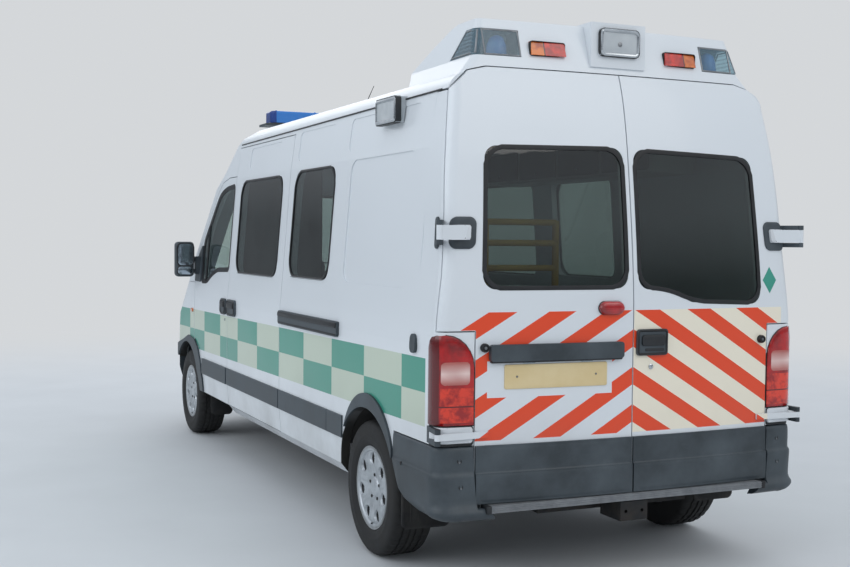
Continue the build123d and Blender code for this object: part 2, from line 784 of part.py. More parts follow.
with BuildPart() as roof_light_pod:
    add(pod_form.part)
    add(box(*POD_LAMP))
    add(both_sides(side_prism(beacon_points, x_low=BEACON_X, x_high=900)), mode=Mode.SUBTRACT)
    add(roof_cut, mode=Mode.SUBTRACT)
    add(box(-1200, 1200, -LENGTH, ROOF_REAR, 0, 2300), mode=Mode.SUBTRACT)
    add(door_head_cut, mode=Mode.SUBTRACT)
    add(box(-1200, 1200, -LENGTH, LENGTH, 0, 2296), mode=Mode.SUBTRACT)
save(roof_light_pod.part, "roof_light_pod")

MARKER = (283, 464, aft(600), LENGTH, 2476, 2540)
with BuildPart() as marker_form:
    loft(sections=[rear_outline(z, x, aft(y + 16), 40, POD_TIP) for z, x, y in POD_LEVELS], ruled=True)
with BuildPart() as marker_lamps:
    add(both_sides(common(shell(marker_form.part, pod_form.part), box(*MARKER))))
save(marker_lamps.part, "marker_lamps")

ALLEY = (880, 945, aft(-20), aft(240), 2185, 2310)
with BuildPart() as flood_lamps:
    add(box(-107, 107, aft(742), aft(756), 2497, 2620))
    add(both_sides(shell(box(*ALLEY), roof_cut)))
save(flood_lamps.part, "flood_lamps")

# Light bar over the cab: middle, half length, half depth
BAR_Y = aft(-2985)
BAR_X = 640
BAR_HALF = 85
BAR_LOW = 2444
BAR_LENS = 2460
BAR_TOP = 2556
BAR_LEG = (470, 560)
with BuildPart() as light_bar_base:
    add(box(-BAR_X - 40, BAR_X + 40, BAR_Y - BAR_HALF - 10, BAR_Y + BAR_HALF + 10, BAR_LOW, BAR_LENS))
    add(both_sides(box(BAR_LEG[0], BAR_LEG[1], BAR_Y - 50, BAR_Y + 50, 2200, BAR_LOW)))
    add(front_outer, mode=Mode.SUBTRACT)
save(light_bar_base.part, "light_bar_base")
with BuildPart() as bar_lens:
    add(box(-BAR_X, BAR_X, BAR_Y - BAR_HALF, BAR_Y + BAR_HALF, BAR_LENS, BAR_TOP))
    fillet(bar_lens.edges().filter_by(Axis.Z), 40)
    fillet(bar_lens.faces().sort_by(Axis.Z)[-1].edges(), 16)
with BuildPart() as blue_lamps:
    add(bar_lens.part)
    beacon = side_prism(beacon_points, x_low=BEACON_X, x_high=900, grow=-1)
    add(both_sides(common(pod_form.part, beacon)))
save(blue_lamps.part, "blue_lamps")

# Mirrors, handles and rub strips of the front doors
MIRROR = (1024, 1172, -1790, -1700, 1300, 1577)
MIRROR_ARMS = (1330, 1420)
MIRROR_BASE = [(-1838, 1262), (-1655, 1262), (-1655, 1560), (-1838, 1408)]
DOOR_PULL = (aft(-2980), aft(-2830), 1052, 1168)
with BuildPart() as front_left_trim:
    add(box(*MIRROR))
    fillet(front_left_trim.edges(), 30)
    for z in MIRROR_ARMS:
        add(box(1000, 1040, -1760, -1730, z, z + 30))
    add(common(side_prism(MIRROR_BASE, 12, 900), shell(front_solid(-10), front_outer)))
    add(shell(box(960, 1012, -1770, -1720, 1320, 1460), front_outer))
    add(common(front_lip, window_prism(DOOR_PULL, 0, 35)))
    add(common(front_lip, box(900, 1100, -1555, DOOR_SEAM - GAP, RUB_LOW, RUB_HIGH)))
save(front_left_trim.part, "front_left_trim")
with BuildPart() as front_right_trim:
    add(mirrored(front_left_trim.part))
save(front_right_trim.part, "front_right_trim")

# Floor with wheelhouses, frame rails and the toe board
FLOOR_Z = 560
FLOOR_LOW = FLOOR_Z - 35
FLOOR_X = 935
FLOOR_FRONT = DOOR_SEAM + 60
CAB_X = 860
CAB_FLOOR = 440
HOUSE_X = 690
HOUSE_HALF = 450
HOUSE_TOP = 790
RAIL_X = (330, 400)
RAIL_LOW = 430
CROSSMEMBERS = (-700, 300, 1300, aft(600))
SHEET = 20
# Toe board seen from the side, from the floor forward and up to the bulkhead and back
TOE_BOARD = [
    (FLOOR_FRONT, CAB_FLOOR),
    (-1655, CAB_FLOOR),
    (-1655, 800),
    (-2150, 800),
    (-2150, 1180),
    (-2150 + SHEET, 1180),
    (-2150 + SHEET, 800 + SHEET),
    (-1655 + SHEET, 800 + SHEET),
    (-1655 + SHEET, CAB_FLOOR + 30),
    (FLOOR_FRONT, CAB_FLOOR + 30),
]
with BuildPart() as floor_pan:
    add(box(-FLOOR_X, FLOOR_X, FLOOR_FRONT, aft(790), FLOOR_LOW, FLOOR_Z))
    house = box(HOUSE_X, FLOOR_X, aft(-HOUSE_HALF), aft(HOUSE_HALF), FLOOR_Z - 10, HOUSE_TOP)
    add(both_sides(house))
    tunnel = common(rear_arch(ARCH_R + 8), box(HOUSE_X + 10, 1200, aft(-600), aft(600), 0, 900))
    add(both_sides(tunnel), mode=Mode.SUBTRACT)
    add(both_sides(box(RAIL_X[0], RAIL_X[1], FLOOR_FRONT, aft(700), RAIL_LOW, FLOOR_LOW)))
    for y in CROSSMEMBERS:
        add(box(-RAIL_X[1], RAIL_X[1], y, y + 60, RAIL_LOW + 10, FLOOR_LOW))
    add(side_prism(TOE_BOARD, x_low=-CAB_X, x_high=CAB_X))
    add(box(-CAB_X, CAB_X, FLOOR_FRONT, FLOOR_FRONT + SHEET, CAB_FLOOR, FLOOR_Z))
save(floor_pan.part, "floor_pan")


def cross_bar(radius, x_low, x_high, y, z):
    """Round bar across the vehicle."""
    with BuildPart() as bar:
        with BuildSketch(Plane.YZ.offset(x_low)):
            with Locations((y, z)):
                Circle(radius)
        extrude(amount=x_high - x_low)
    return bar.part


# Running gear
AXLE_R = 38
AXLE_HALF = 715
# Leaf spring and its shackles, left side: inner and outer X, front, rear, bottom, top
SPRINGS = (
    (505, 575, aft(-640), aft(600), 385, 410),
    (505, 575, aft(-60), aft(60), 360, 390),
    (400, 575, aft(-640), aft(-600), 385, 480),
    (400, 575, aft(560), aft(600), 385, 480),
)
with BuildPart() as rear_axle:
    add(cross_bar(AXLE_R, -AXLE_HALF, AXLE_HALF, REAR_AXLE, TYRE_R))
    add(cross_bar(SPINDLE_R, -WHEEL_X - 20, WHEEL_X + 20, REAR_AXLE, TYRE_R))
    for spring in SPRINGS:
        add(both_sides(box(*spring)))
save(rear_axle.part, "rear_axle")

BALL_LOW = 200
BALL_HIGH = 490
BALL_R = 14
ARM_HALF = 11
SUBFRAME_X = 400
wishbone = [
    (SUBFRAME_X - 20, FRONT_AXLE - 45),
    (KINGPIN_X, FRONT_AXLE - 24),
    (KINGPIN_X + 24, FRONT_AXLE),
    (KINGPIN_X, FRONT_AXLE + 24),
    (SUBFRAME_X - 20, FRONT_AXLE + 215),
]
with BuildPart() as front_subframe:
    front, rear = FRONT_AXLE - 60, FRONT_AXLE + 220
    add(box(-SUBFRAME_X, SUBFRAME_X, front, rear, BALL_LOW - ARM_HALF, 270))
    add(both_sides(box(SUBFRAME_X - 50, SUBFRAME_X, front, front + 120, 260, BALL_HIGH + ARM_HALF)))
    for z in (BALL_LOW, BALL_HIGH):
        add(both_sides(plan_prism(wishbone, z - ARM_HALF, z + ARM_HALF)))
        with Locations((KINGPIN_X, FRONT_AXLE, z), (-KINGPIN_X, FRONT_AXLE, z)):
            Cylinder(BALL_R + 0.05, 4 * ARM_HALF, mode=Mode.SUBTRACT)
save(front_subframe.part, "front_subframe")

STEER_ARM = 140
with BuildPart() as knuckle_left:
    with Locations((KINGPIN_X, FRONT_AXLE, (BALL_LOW + BALL_HIGH) / 2)):
        Cylinder(BALL_R, BALL_HIGH - BALL_LOW + 2 * ARM_HALF)
        Cylinder(32, BALL_HIGH - BALL_LOW - 2 * ARM_HALF - 2)
    add(cross_bar(SPINDLE_R, KINGPIN_X, WHEEL_X + 20, FRONT_AXLE, TYRE_R))
    add(box(KINGPIN_X - 15, KINGPIN_X + 15, FRONT_AXLE, FRONT_AXLE + STEER_ARM, 300, 330))
save(knuckle_left.part, "knuckle_left")
with BuildPart() as knuckle_right:
    add(mirrored(knuckle_left.part))
save(knuckle_right.part, "knuckle_right")

# Wheels
HUB_R = 80
TYRE_SIDES = 64
# Tyre's section from its inner bead to its outer: distance across, radius
TYRE_SECTION = (
    (-100, RIM_R + 8),
    (-TYRE_WIDTH / 2, RIM_R + 45),
    (4 - TYRE_WIDTH / 2, TYRE_R - 25),
    (28 - TYRE_WIDTH / 2, TYRE_R),
    (TYRE_WIDTH / 2 - 28, TYRE_R),
    (TYRE_WIDTH / 2 - 4, TYRE_R - 25),
    (TYRE_WIDTH / 2, RIM_R + 45),
    (100, RIM_R + 8),
)


def many_sided(x, radius):
    """Outline about the X axis with as many flats as the tyre has, one of them at the bottom."""
    with BuildSketch(Plane.YZ.offset(x)) as ring:
        RegularPolygon(radius, TYRE_SIDES, major_radius=False, rotation=180 / TYRE_SIDES)
    return ring.sketch.face()


def tyre():
    """Tyre about the X axis, with a rounded tread."""
    with BuildPart() as solid:
        loft(sections=[many_sided(x, radius) for x, radius in TYRE_SECTION], ruled=True)
        extrude(many_sided(-TYRE_WIDTH, RIM_R), amount=2 * TYRE_WIDTH, dir=(1, 0, 0), mode=Mode.SUBTRACT)
    return solid.part


# Wheel's section, out along its inner face and back along its outer one: distance across, radius
RIM_SECTION = (
    (-60, SPINDLE_R + 0.05),
    (-60, HUB_R),
    (30, HUB_R),
    (55, RIM_R - 40),
    (-100, RIM_R - 25),
    (-100, RIM_R),
    (100, RIM_R),
    (96, RIM_R - 14),
    (84, RIM_R - 30),
    (66, HUB_R),
    (70, 40),
    (70, SPINDLE_R + 0.05),
)
CAP_SLOTS = 7
CAP_SLOT_R = 148


def rim():
    """Wheel disc with its hub cap slots, outer face towards +X."""
    with BuildPart() as solid:
        with BuildSketch(Plane.XY):
            with BuildLine():
                Polyline(*RIM_SECTION, close=True)
            make_face()
        revolve(axis=Axis.X)
        with BuildSketch(Plane.YZ):
            with PolarLocations(CAP_SLOT_R, CAP_SLOTS):
                SlotOverall(46, 20)
        extrude(amount=100, mode=Mode.SUBTRACT)
    return solid.part


wheel_places = (
    ("front_left", WHEEL_X, FRONT_AXLE),
    ("front_right", -WHEEL_X, FRONT_AXLE),
    ("rear_left", WHEEL_X, REAR_AXLE),
    ("rear_right", -WHEEL_X, REAR_AXLE),
)
plain_tyre = tyre()
plain_rim = rim()
for name, x, y in wheel_places:
    for piece, form in (("tyre", plain_tyre), ("rim", plain_rim)):
        turn = 0 if x > 0 else 180
        with BuildPart() as wheel_piece:
            with Locations(Location((x, y, TYRE_R), (0, 0, turn))):
                add(form)
        save(wheel_piece.part, f"{name}_{piece}")

# Under the body: engine, exhaust, fuel tank, tow bracket, mudflaps
ENGINE = (-330, 330, -2620, -2200, 430, 940)
with BuildPart() as engine_block:
    add(box(*ENGINE))
    chamfer(engine_block.edges().filter_by(Axis.X), 40)
save(engine_block.part, "engine_block")

PIPE_X = -200
PIPE_Z = 350
PIPE_R = 26
SILENCER_R = 80
# Exhaust along the vehicle: radius, front, rear
EXHAUST_RUNS = ((PIPE_R, -1550, -1000), (SILENCER_R, -1000, -300), (PIPE_R, -300, 680))
with BuildPart() as exhaust:
    for radius, front, rear in EXHAUST_RUNS:
        with BuildSketch(Plane.XZ.offset(-rear)):
            with Locations((PIPE_X, PIPE_Z)):
                Circle(radius)
        extrude(amount=rear - front)
    add(cross_bar(PIPE_R, -850, PIPE_X, EXHAUST_RUNS[-1][2], PIPE_Z))
save(exhaust.part, "exhaust")

FUEL_TANK = (420, 860, -500, 500, 300, FLOOR_Z - 40)
with BuildPart() as fuel_tank:
    add(box(*FUEL_TANK))
    fillet(fuel_tank.edges().filter_by(Axis.Y), 50)
save(fuel_tank.part, "fuel_tank")

TOW_Y = aft(700)
TOW_X = 420
TOW_LOW = 330
TOW_TOP = 390
HITCH_REAR = TOW_Y + 235
BOLT_X = 45
with BuildPart() as tow_bracket:
    add(box(-TOW_X, TOW_X, TOW_Y, TOW_Y + 60, TOW_LOW, TOW_TOP))
    add(both_sides(box(TOW_X - 20, TOW_X, TOW_Y - 100, TOW_Y + 60, TOW_LOW, 425)))
    add(box(-75, 75, TOW_Y + 60, HITCH_REAR, TOW_LOW - 30, TOW_TOP))
    with Locations(Plane.XZ.offset(-HITCH_REAR)):
        with Locations((-BOLT_X, 345), (BOLT_X, 345)):
            Hole(8.5, 60)
save(tow_bracket.part, "tow_bracket")

# Mudflaps on the left: inner and outer X, front, bottom, top
FLAPS = ((730, 955, aft(425), 233, 440), (730, 905, FRONT_AXLE + 428, 200, 439))
FLAP = 6
with BuildPart() as mudflaps:
    for x0, x1, y, low, high in FLAPS:
        add(both_sides(box(x0, x1, y, y + FLAP, low, high)))
save(mudflaps.part, "mudflaps")

# Cab: dashboard, steering wheel, seats
DASH = [
    (-2120, 1020),
    (-2120, 1190),
    (-2020, 1215),
    (-1840, 1190),
    (-1740, 1120),
    (-1760, 960),
    (-1880, 900),
    (-1960, 900),
]
COLUMN = (-470, -1760, 1060)
COLUMN_LENGTH = 108
COLUMN_LEAN = (0, 0.8, 0.6)
with BuildPart() as dashboard:
    add(side_prism(DASH, x_low=-840, x_high=840))
    with BuildSketch(Plane(origin=COLUMN, z_dir=COLUMN_LEAN)):
        Circle(28)
    extrude(amount=COLUMN_LENGTH)
save(dashboard.part, "dashboard")

STEERING_R = 200
with BuildPart() as steering_wheel:
    with BuildSketch(Plane(origin=COLUMN, z_dir=COLUMN_LEAN).offset(COLUMN_LENGTH + 2)):
        Circle(STEERING_R)
        Circle(STEERING_R - 28, mode=Mode.SUBTRACT)
        Circle(60)
        for angle in (0, 120, 240):
            with Locations(Location((0, 0), angle)):
                with Locations((115, 0)):
                    Rectangle(130, 30)
    extrude(amount=26)
save(steering_wheel.part, "steering_wheel")

# Each seat's left and right X, and its back seen from the side
SEATS = ((250, 730), (-730, -250))
SEAT_BACK = [(-1010, 860), (-900, 860), (-860, 1500), (-960, 1500)]
with BuildPart() as cab_seats:
    for x0, x1 in SEATS:
        add(box(x0, x1, -1500, -960, 700, 860))
        add(side_prism(SEAT_BACK, 20, x0, x1))
        add(box(x0 + 60, x1 - 60, -1420, -1000, 470, 700))
save(cab_seats.part, "cab_seats")

# Load space: partition with its doorway, stretcher, ramp
PARTITION_Y = -700
DOORWAY = (-320, 320, PARTITION_Y - 100, PARTITION_Y + 100, FLOOR_Z - 1, 2250)
with BuildPart() as partition:
    add(nosed_solid(WALL + 8, PARTITION_Y, PARTITION_Y + SHEET))
    add(box(*DOORWAY), mode=Mode.SUBTRACT)
    add(box(-1200, 1200, PARTITION_Y - 100, PARTITION_Y + 100, 300, FLOOR_Z), mode=Mode.SUBTRACT)
save(partition.part, "partition")

MATTRESS = (-380, 180, 300, 2250, 880, 960)
# Stretcher's frame and legs: left, right, front, rear, bottom, top
STRETCHER_FRAME = (
    (-330, 130, 400, 2150, 850, 880),
    (-300, -260, 500, 2100, FLOOR_Z, 850),
    (60, 100, 500, 2100, FLOOR_Z, 850),
)
with BuildPart() as stretcher:
    add(box(*MATTRESS))
    fillet(stretcher.edges().filter_by(Axis.Z), 60)
    for member in STRETCHER_FRAME:
        add(box(*member))
save(stretcher.part, "stretcher")

RAMP_X = (220, 640)
RAMP_TOP = 1720
with BuildPart() as loading_ramp:
    add(box(RAMP_X[0], RAMP_X[1], aft(560), aft(600), FLOOR_Z, RAMP_TOP))
    add(box(RAMP_X[0] + 40, RAMP_X[1] - 40, aft(540), aft(640), 700, RAMP_TOP - 120), mode=Mode.SUBTRACT)
save(loading_ramp.part, "loading_ramp")
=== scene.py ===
import math

import bmesh
import bpy
from mathutils import Matrix, Vector
from mathutils.bvhtree import BVHTree

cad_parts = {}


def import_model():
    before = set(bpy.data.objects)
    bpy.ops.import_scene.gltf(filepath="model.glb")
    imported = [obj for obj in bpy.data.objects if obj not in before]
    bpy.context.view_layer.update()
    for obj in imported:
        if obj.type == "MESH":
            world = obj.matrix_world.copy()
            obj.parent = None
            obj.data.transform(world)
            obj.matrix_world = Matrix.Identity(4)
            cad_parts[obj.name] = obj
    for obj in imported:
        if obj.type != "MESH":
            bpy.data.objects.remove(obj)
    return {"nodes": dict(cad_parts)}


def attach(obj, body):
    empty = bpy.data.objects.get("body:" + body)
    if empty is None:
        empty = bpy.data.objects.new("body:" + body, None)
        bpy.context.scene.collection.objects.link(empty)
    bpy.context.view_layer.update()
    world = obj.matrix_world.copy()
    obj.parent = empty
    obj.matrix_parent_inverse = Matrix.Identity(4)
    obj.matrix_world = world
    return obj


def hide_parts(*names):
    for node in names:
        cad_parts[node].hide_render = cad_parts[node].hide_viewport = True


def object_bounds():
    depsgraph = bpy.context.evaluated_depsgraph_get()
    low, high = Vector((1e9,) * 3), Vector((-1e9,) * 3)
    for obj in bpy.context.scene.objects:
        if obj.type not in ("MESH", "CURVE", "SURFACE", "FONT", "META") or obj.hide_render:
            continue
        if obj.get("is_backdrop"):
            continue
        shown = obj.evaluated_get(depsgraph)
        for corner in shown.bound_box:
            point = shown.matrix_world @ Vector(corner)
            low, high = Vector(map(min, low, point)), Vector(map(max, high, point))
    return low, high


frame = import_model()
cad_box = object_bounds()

# Metres: +X is the vehicle's left, -Y its front, +Z up
nodes = frame["nodes"]
scene = bpy.context.scene
SIDES = (("left", 1), ("right", -1))
REAR_AXLE = 2.0045
FRONT_AXLE = -2.0735
TYRE_R = 0.345
CLEAR = (1, 1, 1, 1)


# Materials
def srgb(code):
    """A colour written as a hex string, as linear RGBA."""
    parts = [int(code[i : i + 2], 16) / 255 for i in (0, 2, 4)]
    linear = [p / 12.92 if p < 0.04045 else ((p + 0.055) / 1.055) ** 2.4 for p in parts]
    return (*linear, 1.0)


class Shader:
    """A material's or the world's nodes as expressions: each call adds a node and returns its output."""

    def __init__(self, name, kind="materials"):
        self.owner = getattr(bpy.data, kind).new(name)
        self.owner.use_nodes = True
        self.tree = self.owner.node_tree
        self.tree.nodes.clear()
        self.place = self.node("TexCoord", output="Object")
        self.x, self.y, self.z = self.split(self.place)

    def split(self, vector):
        parts = self.tree.nodes.new("ShaderNodeSeparateXYZ")
        self.tree.links.new(vector, parts.inputs[0])
        return parts.outputs

    def node(self, kind, inputs=(), output=0, **settings):
        """A node of a kind; an input is another node's output, a number or a hex colour."""
        made = self.tree.nodes.new("ShaderNode" + kind)
        for key, value in settings.items():
            setattr(made, key, value)
        for key, value in dict(inputs).items():
            if isinstance(value, bpy.types.NodeSocket):
                self.tree.links.new(value, made.inputs[key])
            else:
                made.inputs[key].default_value = srgb(value) if isinstance(value, str) else value
        return made.outputs[output]

    def math(self, operation, a, b=0.0, c=0.0):
        return self.node("Math", {0: a, 1: b, 2: c}, operation=operation)

    def absolute(self, value):
        return self.math("ABSOLUTE", value)

    def off(self, value, middle):
        """How far a value lies from a middle."""
        return self.absolute(self.math("SUBTRACT", value, middle))

    def over(self, value, edge):
        return self.math("GREATER_THAN", value, edge)

    def under(self, value, edge):
        return self.math("LESS_THAN", value, edge)

    def both(self, *tests):
        made = tests[0]
        for test in tests[1:]:
            made = self.math("MULTIPLY", made, test)
        return made

    def between(self, value, low, high):
        """1 where value lies between low and high."""
        return self.both(self.over(value, low), self.under(value, high))

    def squares(self, a, b):
        """Sum of two squares."""
        return self.math("ADD", self.both(a, a), self.both(b, b))

    def mix(self, factor, a, b):
        return self.node("Mix", {0: factor, 6: a, 7: b}, 2, data_type="RGBA")

    def blend(self, factor, a, b):
        return self.node("MixShader", {0: factor, 1: a, 2: b})

    def noise(self, scale, detail=3.0, roughness=0.5, stretch=None):
        place = self.place
        if stretch:
            place = self.node("Mapping", {"Vector": place, "Scale": stretch})
        inputs = {"Vector": place, "Scale": scale, "Detail": detail, "Roughness": roughness}
        return self.node("TexNoise", inputs)

    def waves(self, scale, axis="Z"):
        inputs = {"Vector": self.place, "Scale": scale}
        return self.node("TexWave", inputs, output="Fac", bands_direction=axis, wave_profile="SIN")

    def ramp(self, value, low, high, to_low=0.0, to_high=1.0):
        return self.node("MapRange", {0: value, 1: low, 2: high, 3: to_low, 4: to_high})

    def bump(self, height, strength, distance=0.001, under=None):
        inputs = {"Height": height, "Strength": strength, "Distance": distance}
        if under:
            inputs["Normal"] = under
        return self.node("Bump", inputs)

    def gloss(self, rough, ior, **normal):
        """Share that a surface mirrors and its mirror shader; inner faces mirror nothing and stay clear."""
        outer = self.math("SUBTRACT", 1.0, self.node("NewGeometry", output="Backfacing"))
        share = self.math("MULTIPLY", self.node("Fresnel", {"IOR": ior, **normal}), outer)
        return share, self.node("BsdfGlossy", {"Color": CLEAR, "Roughness": rough, **normal})

    def finish(self, surface, output="OutputMaterial"):
        output = self.tree.nodes.new("ShaderNode" + output)
        self.tree.links.new(surface, output.inputs["Surface"])
        return self.owner

    def principled(self, **inputs):
        named = {key.replace("_", " ").title(): value for key, value in inputs.items()}
        return self.finish(self.node("BsdfPrincipled", named))

    def moulded(self, tone, rough, ribs, depth, coat=1.0):
        """Glossy lamp plastic with ribs."""
        coated = {"coat_weight": coat, "coat_roughness": 0.03}
        return self.principled(base_color=tone, roughness=rough, normal=self.bump(ribs, depth, 0.001), **coated)


WHITE = "dfe4e8"
GREEN = "2b937d"
PALE_GREEN = "c2cebb"
ORANGE = "e9440f"
CREAM = "f2ead6"
GRIME = "6b665c"
# Painted shade inside the wheel arches
ARCH_SHADE = "1b1d1f"
ARCH_R = 0.412
# Checks: two rows of squares that fall a little towards the front
CHECK_PITCH = 0.495
CHECK_PHASE = 2.4585
CHECK_REAR = 2.7345
CHECK_FRONT = -2.475
CHECK_FALL = -0.0095
CHECK_LOW, CHECK_MID, CHECK_TOP = 0.741, 0.896, 1.051
CHECK_INNER = 0.86
# Chevrons: slope and pitch of the stripes, the area that they fill and the white field behind the plate
STRIPE_SLOPE = 0.59
STRIPE_START = 0.7625
STRIPE_PITCH = 0.1775
STRIPE_SHARE = 0.467
CHEVRON_LOW, CHEVRON_TOP = 0.713, 1.29
CHEVRON_WIDE, CHEVRON_WIDER, CHEVRON_STEP = 0.815, 0.095, 1.21
CHEVRON_FRONT = 2.83
FIELD_X, FIELD_Z = (0.115, 0.755), (0.905, 1.07)
# Sunk slots of the hub caps, whose floors get painted shade: their distance from the middle plane and their
# band of radii
SLOT_PLANE, SLOT_BAND = 0.9485, (0.122, 0.18)


def livery(s):
    """Base colour of the bodywork: checks along the sides, chevrons across the back."""
    wide = s.absolute(s.x)
    level = s.math("MULTIPLY_ADD", s.y, CHECK_FALL, s.z)
    top_row = s.between(level, CHECK_MID, CHECK_TOP)
    low_row = s.between(level, CHECK_LOW, CHECK_MID)
    column = s.math("DIVIDE", s.math("SUBTRACT", CHECK_PHASE, s.y), CHECK_PITCH)
    parity = s.math("FLOORED_MODULO", s.math("FLOOR", column), 2.0)
    green = s.math("COMPARE", s.off(parity, low_row), 1.0, 0.1)
    facing = s.split(s.node("TexCoord", output="Normal"))
    on_side = s.both(
        s.math("ADD", top_row, low_row),
        s.over(wide, CHECK_INNER),
        s.between(s.y, CHECK_FRONT, CHECK_REAR),
        s.over(s.both(facing[0], s.x), 0.0),
    )
    colour = s.mix(on_side, WHITE, s.mix(green, PALE_GREEN, GREEN))
    slant = s.math("MULTIPLY_ADD", wide, STRIPE_SLOPE, s.z)
    stripe = s.math("FRACT", s.math("DIVIDE", s.math("SUBTRACT", slant, STRIPE_START), STRIPE_PITCH))
    stripe = s.under(stripe, STRIPE_SHARE)
    chevrons = s.mix(stripe, s.mix(s.under(s.x, 0.0), WHITE, CREAM), ORANGE)
    field = s.both(s.between(s.x, *FIELD_X), s.between(s.z, *FIELD_Z))
    chevrons = s.mix(field, chevrons, WHITE)
    edge = s.math("MULTIPLY_ADD", s.over(s.z, CHEVRON_STEP), CHEVRON_WIDER, CHEVRON_WIDE)
    back = s.both(
        s.between(s.z, CHEVRON_LOW, CHEVRON_TOP),
        s.over(s.y, CHEVRON_FRONT),
        s.under(wide, edge),
        s.over(facing[1], 0.0),
    )
    return s.mix(back, colour, chevrons)


def paint(name, with_livery):
    """White paint with a film of dirt along the sills; the livery's has painted shade, near black, inside the
    wheel arches.
    """
    s = Shader(name)
    colour = WHITE
    if with_livery:
        colour = livery(s)
        up = s.math("SUBTRACT", s.z, TYRE_R)
        # Painted shade: inside each wheel arch's circle the paint turns near black
        for axle in (REAR_AXLE, FRONT_AXLE):
            inside = s.under(s.squares(s.math("SUBTRACT", s.y, axle), up), (ARCH_R + 0.002) ** 2)
            colour = s.mix(inside, colour, ARCH_SHADE)
    film = s.ramp(s.noise(2.2, 4, 0.6), 0.35, 0.75)
    dirt = s.both(film, s.ramp(s.z, 0.95, 0.36), 0.42)
    haze = s.ramp(s.noise(0.9, 1), 0.3, 0.7, 0.0, 0.03)
    colour = s.mix(s.math("ADD", dirt, haze), colour, GRIME)
    wave = s.bump(s.noise(1.4, 0), 0.04, 0.012, s.bump(s.noise(60, 2), 0.012, 0.0006))
    rough = s.ramp(s.noise(2.5, 1), 0.3, 0.7, 0.29, 0.36)
    return s.principled(base_color=colour, roughness=rough, normal=wave, coat_weight=0.35, coat_roughness=0.08)


def plastic(name, colour, worn, rough=0.55, grain=900, depth=0.25):
    s = Shader(name)
    fade = s.ramp(s.noise(3.5, 5, 0.6), 0.35, 0.7)
    scuff = s.ramp(s.noise(9, 6, 0.75, (1, 6, 6)), 0.6, 0.75, 0.0, 0.35)
    tone = s.mix(scuff, s.mix(fade, colour, worn), worn)
    rough = s.ramp(fade, 0, 1, rough, rough + 0.12)
    return s.principled(base_color=tone, roughness=rough, normal=s.bump(s.noise(grain, 2), depth, 0.0008))


def metal(name, colour, rough, speckle, metallic=1.0, brushed=None, depth=0.18):
    s = Shader(name)
    return s.principled(
        base_color=s.mix(s.ramp(s.noise(14, 5, 0.65), 0.4, 0.7), colour, speckle),
        metallic=metallic,
        roughness=s.ramp(s.noise(30, 4), 0.3, 0.7, rough, rough + 0.15),
        normal=s.bump(s.noise(160, 3, 0.6, brushed), depth, 0.001),
    )


def glass(name, tint, dust=0.05, ior=1.45, milk=0.0, milk_colour="8f9694"):
    """A pane: what is behind it, darkened, under a reflection that grows at grazing angles."""
    s = Shader(name)
    smear = s.ramp(s.noise(5, 5, 0.7), 0.4, 0.8, milk, milk + dust)
    film = s.node("BsdfDiffuse", {"Color": milk_colour})
    body = s.blend(smear, s.node("BsdfTransparent", {"Color": tint}), film)
    share, gloss = s.gloss(0.02, ior, Normal=s.bump(s.noise(1.2, 0), 0.02, 0.01))
    open_pane = s.node("BsdfTransparent", {"Color": (0.9, 0.9, 0.9, 1)})
    shadow = s.node("LightPath", output="Is Shadow Ray")
    return s.finish(s.blend(shadow, s.blend(share, body, gloss), open_pane))


def lens(name, colour, deep, scale=36.0, rough=0.1):
    """Moulded lamp plastic: coloured, glossy, with ribs and a hint of bulbs under the surface."""
    s = Shader(name)
    ribs = s.waves(scale)
    glow = s.ramp(s.noise(14, 2), 0.35, 0.7)
    tone = s.mix(s.ramp(glow, 0, 1, 0.15, 0.85), colour, deep)
    tone = s.mix(s.ramp(ribs, 0.7, 1.0, 0.0, 0.35), tone, deep)
    return s.moulded(tone, rough, ribs, 0.25)


def tail_lens(name):
    """Tail lamp: deep red, with a bright mottled cell behind its lower half and a dark edge at the side."""
    s = Shader(name)
    wide = s.absolute(s.x)
    lower = s.both(s.between(s.z, 0.8, 0.955), s.under(wide, 0.976))
    red = s.mix(s.ramp(s.noise(9, 3, 0.6), 0.38, 0.62), "b90a0c", "7d0206")
    cell = s.mix(s.ramp(s.noise(20, 3, 0.6), 0.42, 0.62), "e2381c", "9c0a0a")
    tone = s.mix(s.over(wide, 0.98), s.mix(lower, red, cell), "5c0206")
    tone = s.mix(s.math("COMPARE", s.z, 0.872, 0.003), tone, "5a0306")
    ribs = s.waves(52)
    return s.moulded(s.mix(s.ramp(ribs, 0.8, 1, 0, 0.12), tone, "4c0306"), 0.12, ribs, 0.12, 0.6)


def tail_window(name):
    """Clear window of the tail lamp, pink from the red behind it, with a painted highlight in a pale band
    across it.
    """
    s = Shader(name)
    flutes = s.waves(70)
    # Painted highlight: palest at a height of 1.02 m, turning pink-red within 45 mm above and below
    tone = s.mix(s.ramp(s.off(s.z, 1.02), 0.0, 0.045), "f0d4cd", "b9685f")
    tone = s.mix(s.ramp(s.noise(8, 1), 0.45, 0.8, 0, 0.5), tone, "a5544c")
    return s.moulded(s.mix(s.ramp(flutes, 0, 1, 0, 0.12), tone, "9a3d38"), 0.1, flutes, 0.15)


def marker_lens(name):
    """Marker lamp: amber on its outer third, red inside."""
    s = Shader(name)
    split = 0.395
    wide = s.absolute(s.x)
    bulb = s.ramp(s.noise(24, 2), 0.4, 0.65)
    tone = s.mix(s.over(wide, split), s.mix(bulb, "e02a12", "a00c08"), s.mix(bulb, "e07416", "a83c06"))
    tone = s.mix(s.math("COMPARE", wide, split, 0.003), tone, "3c0504")
    return s.moulded(tone, 0.12, s.waves(90, "X"), 0.3)


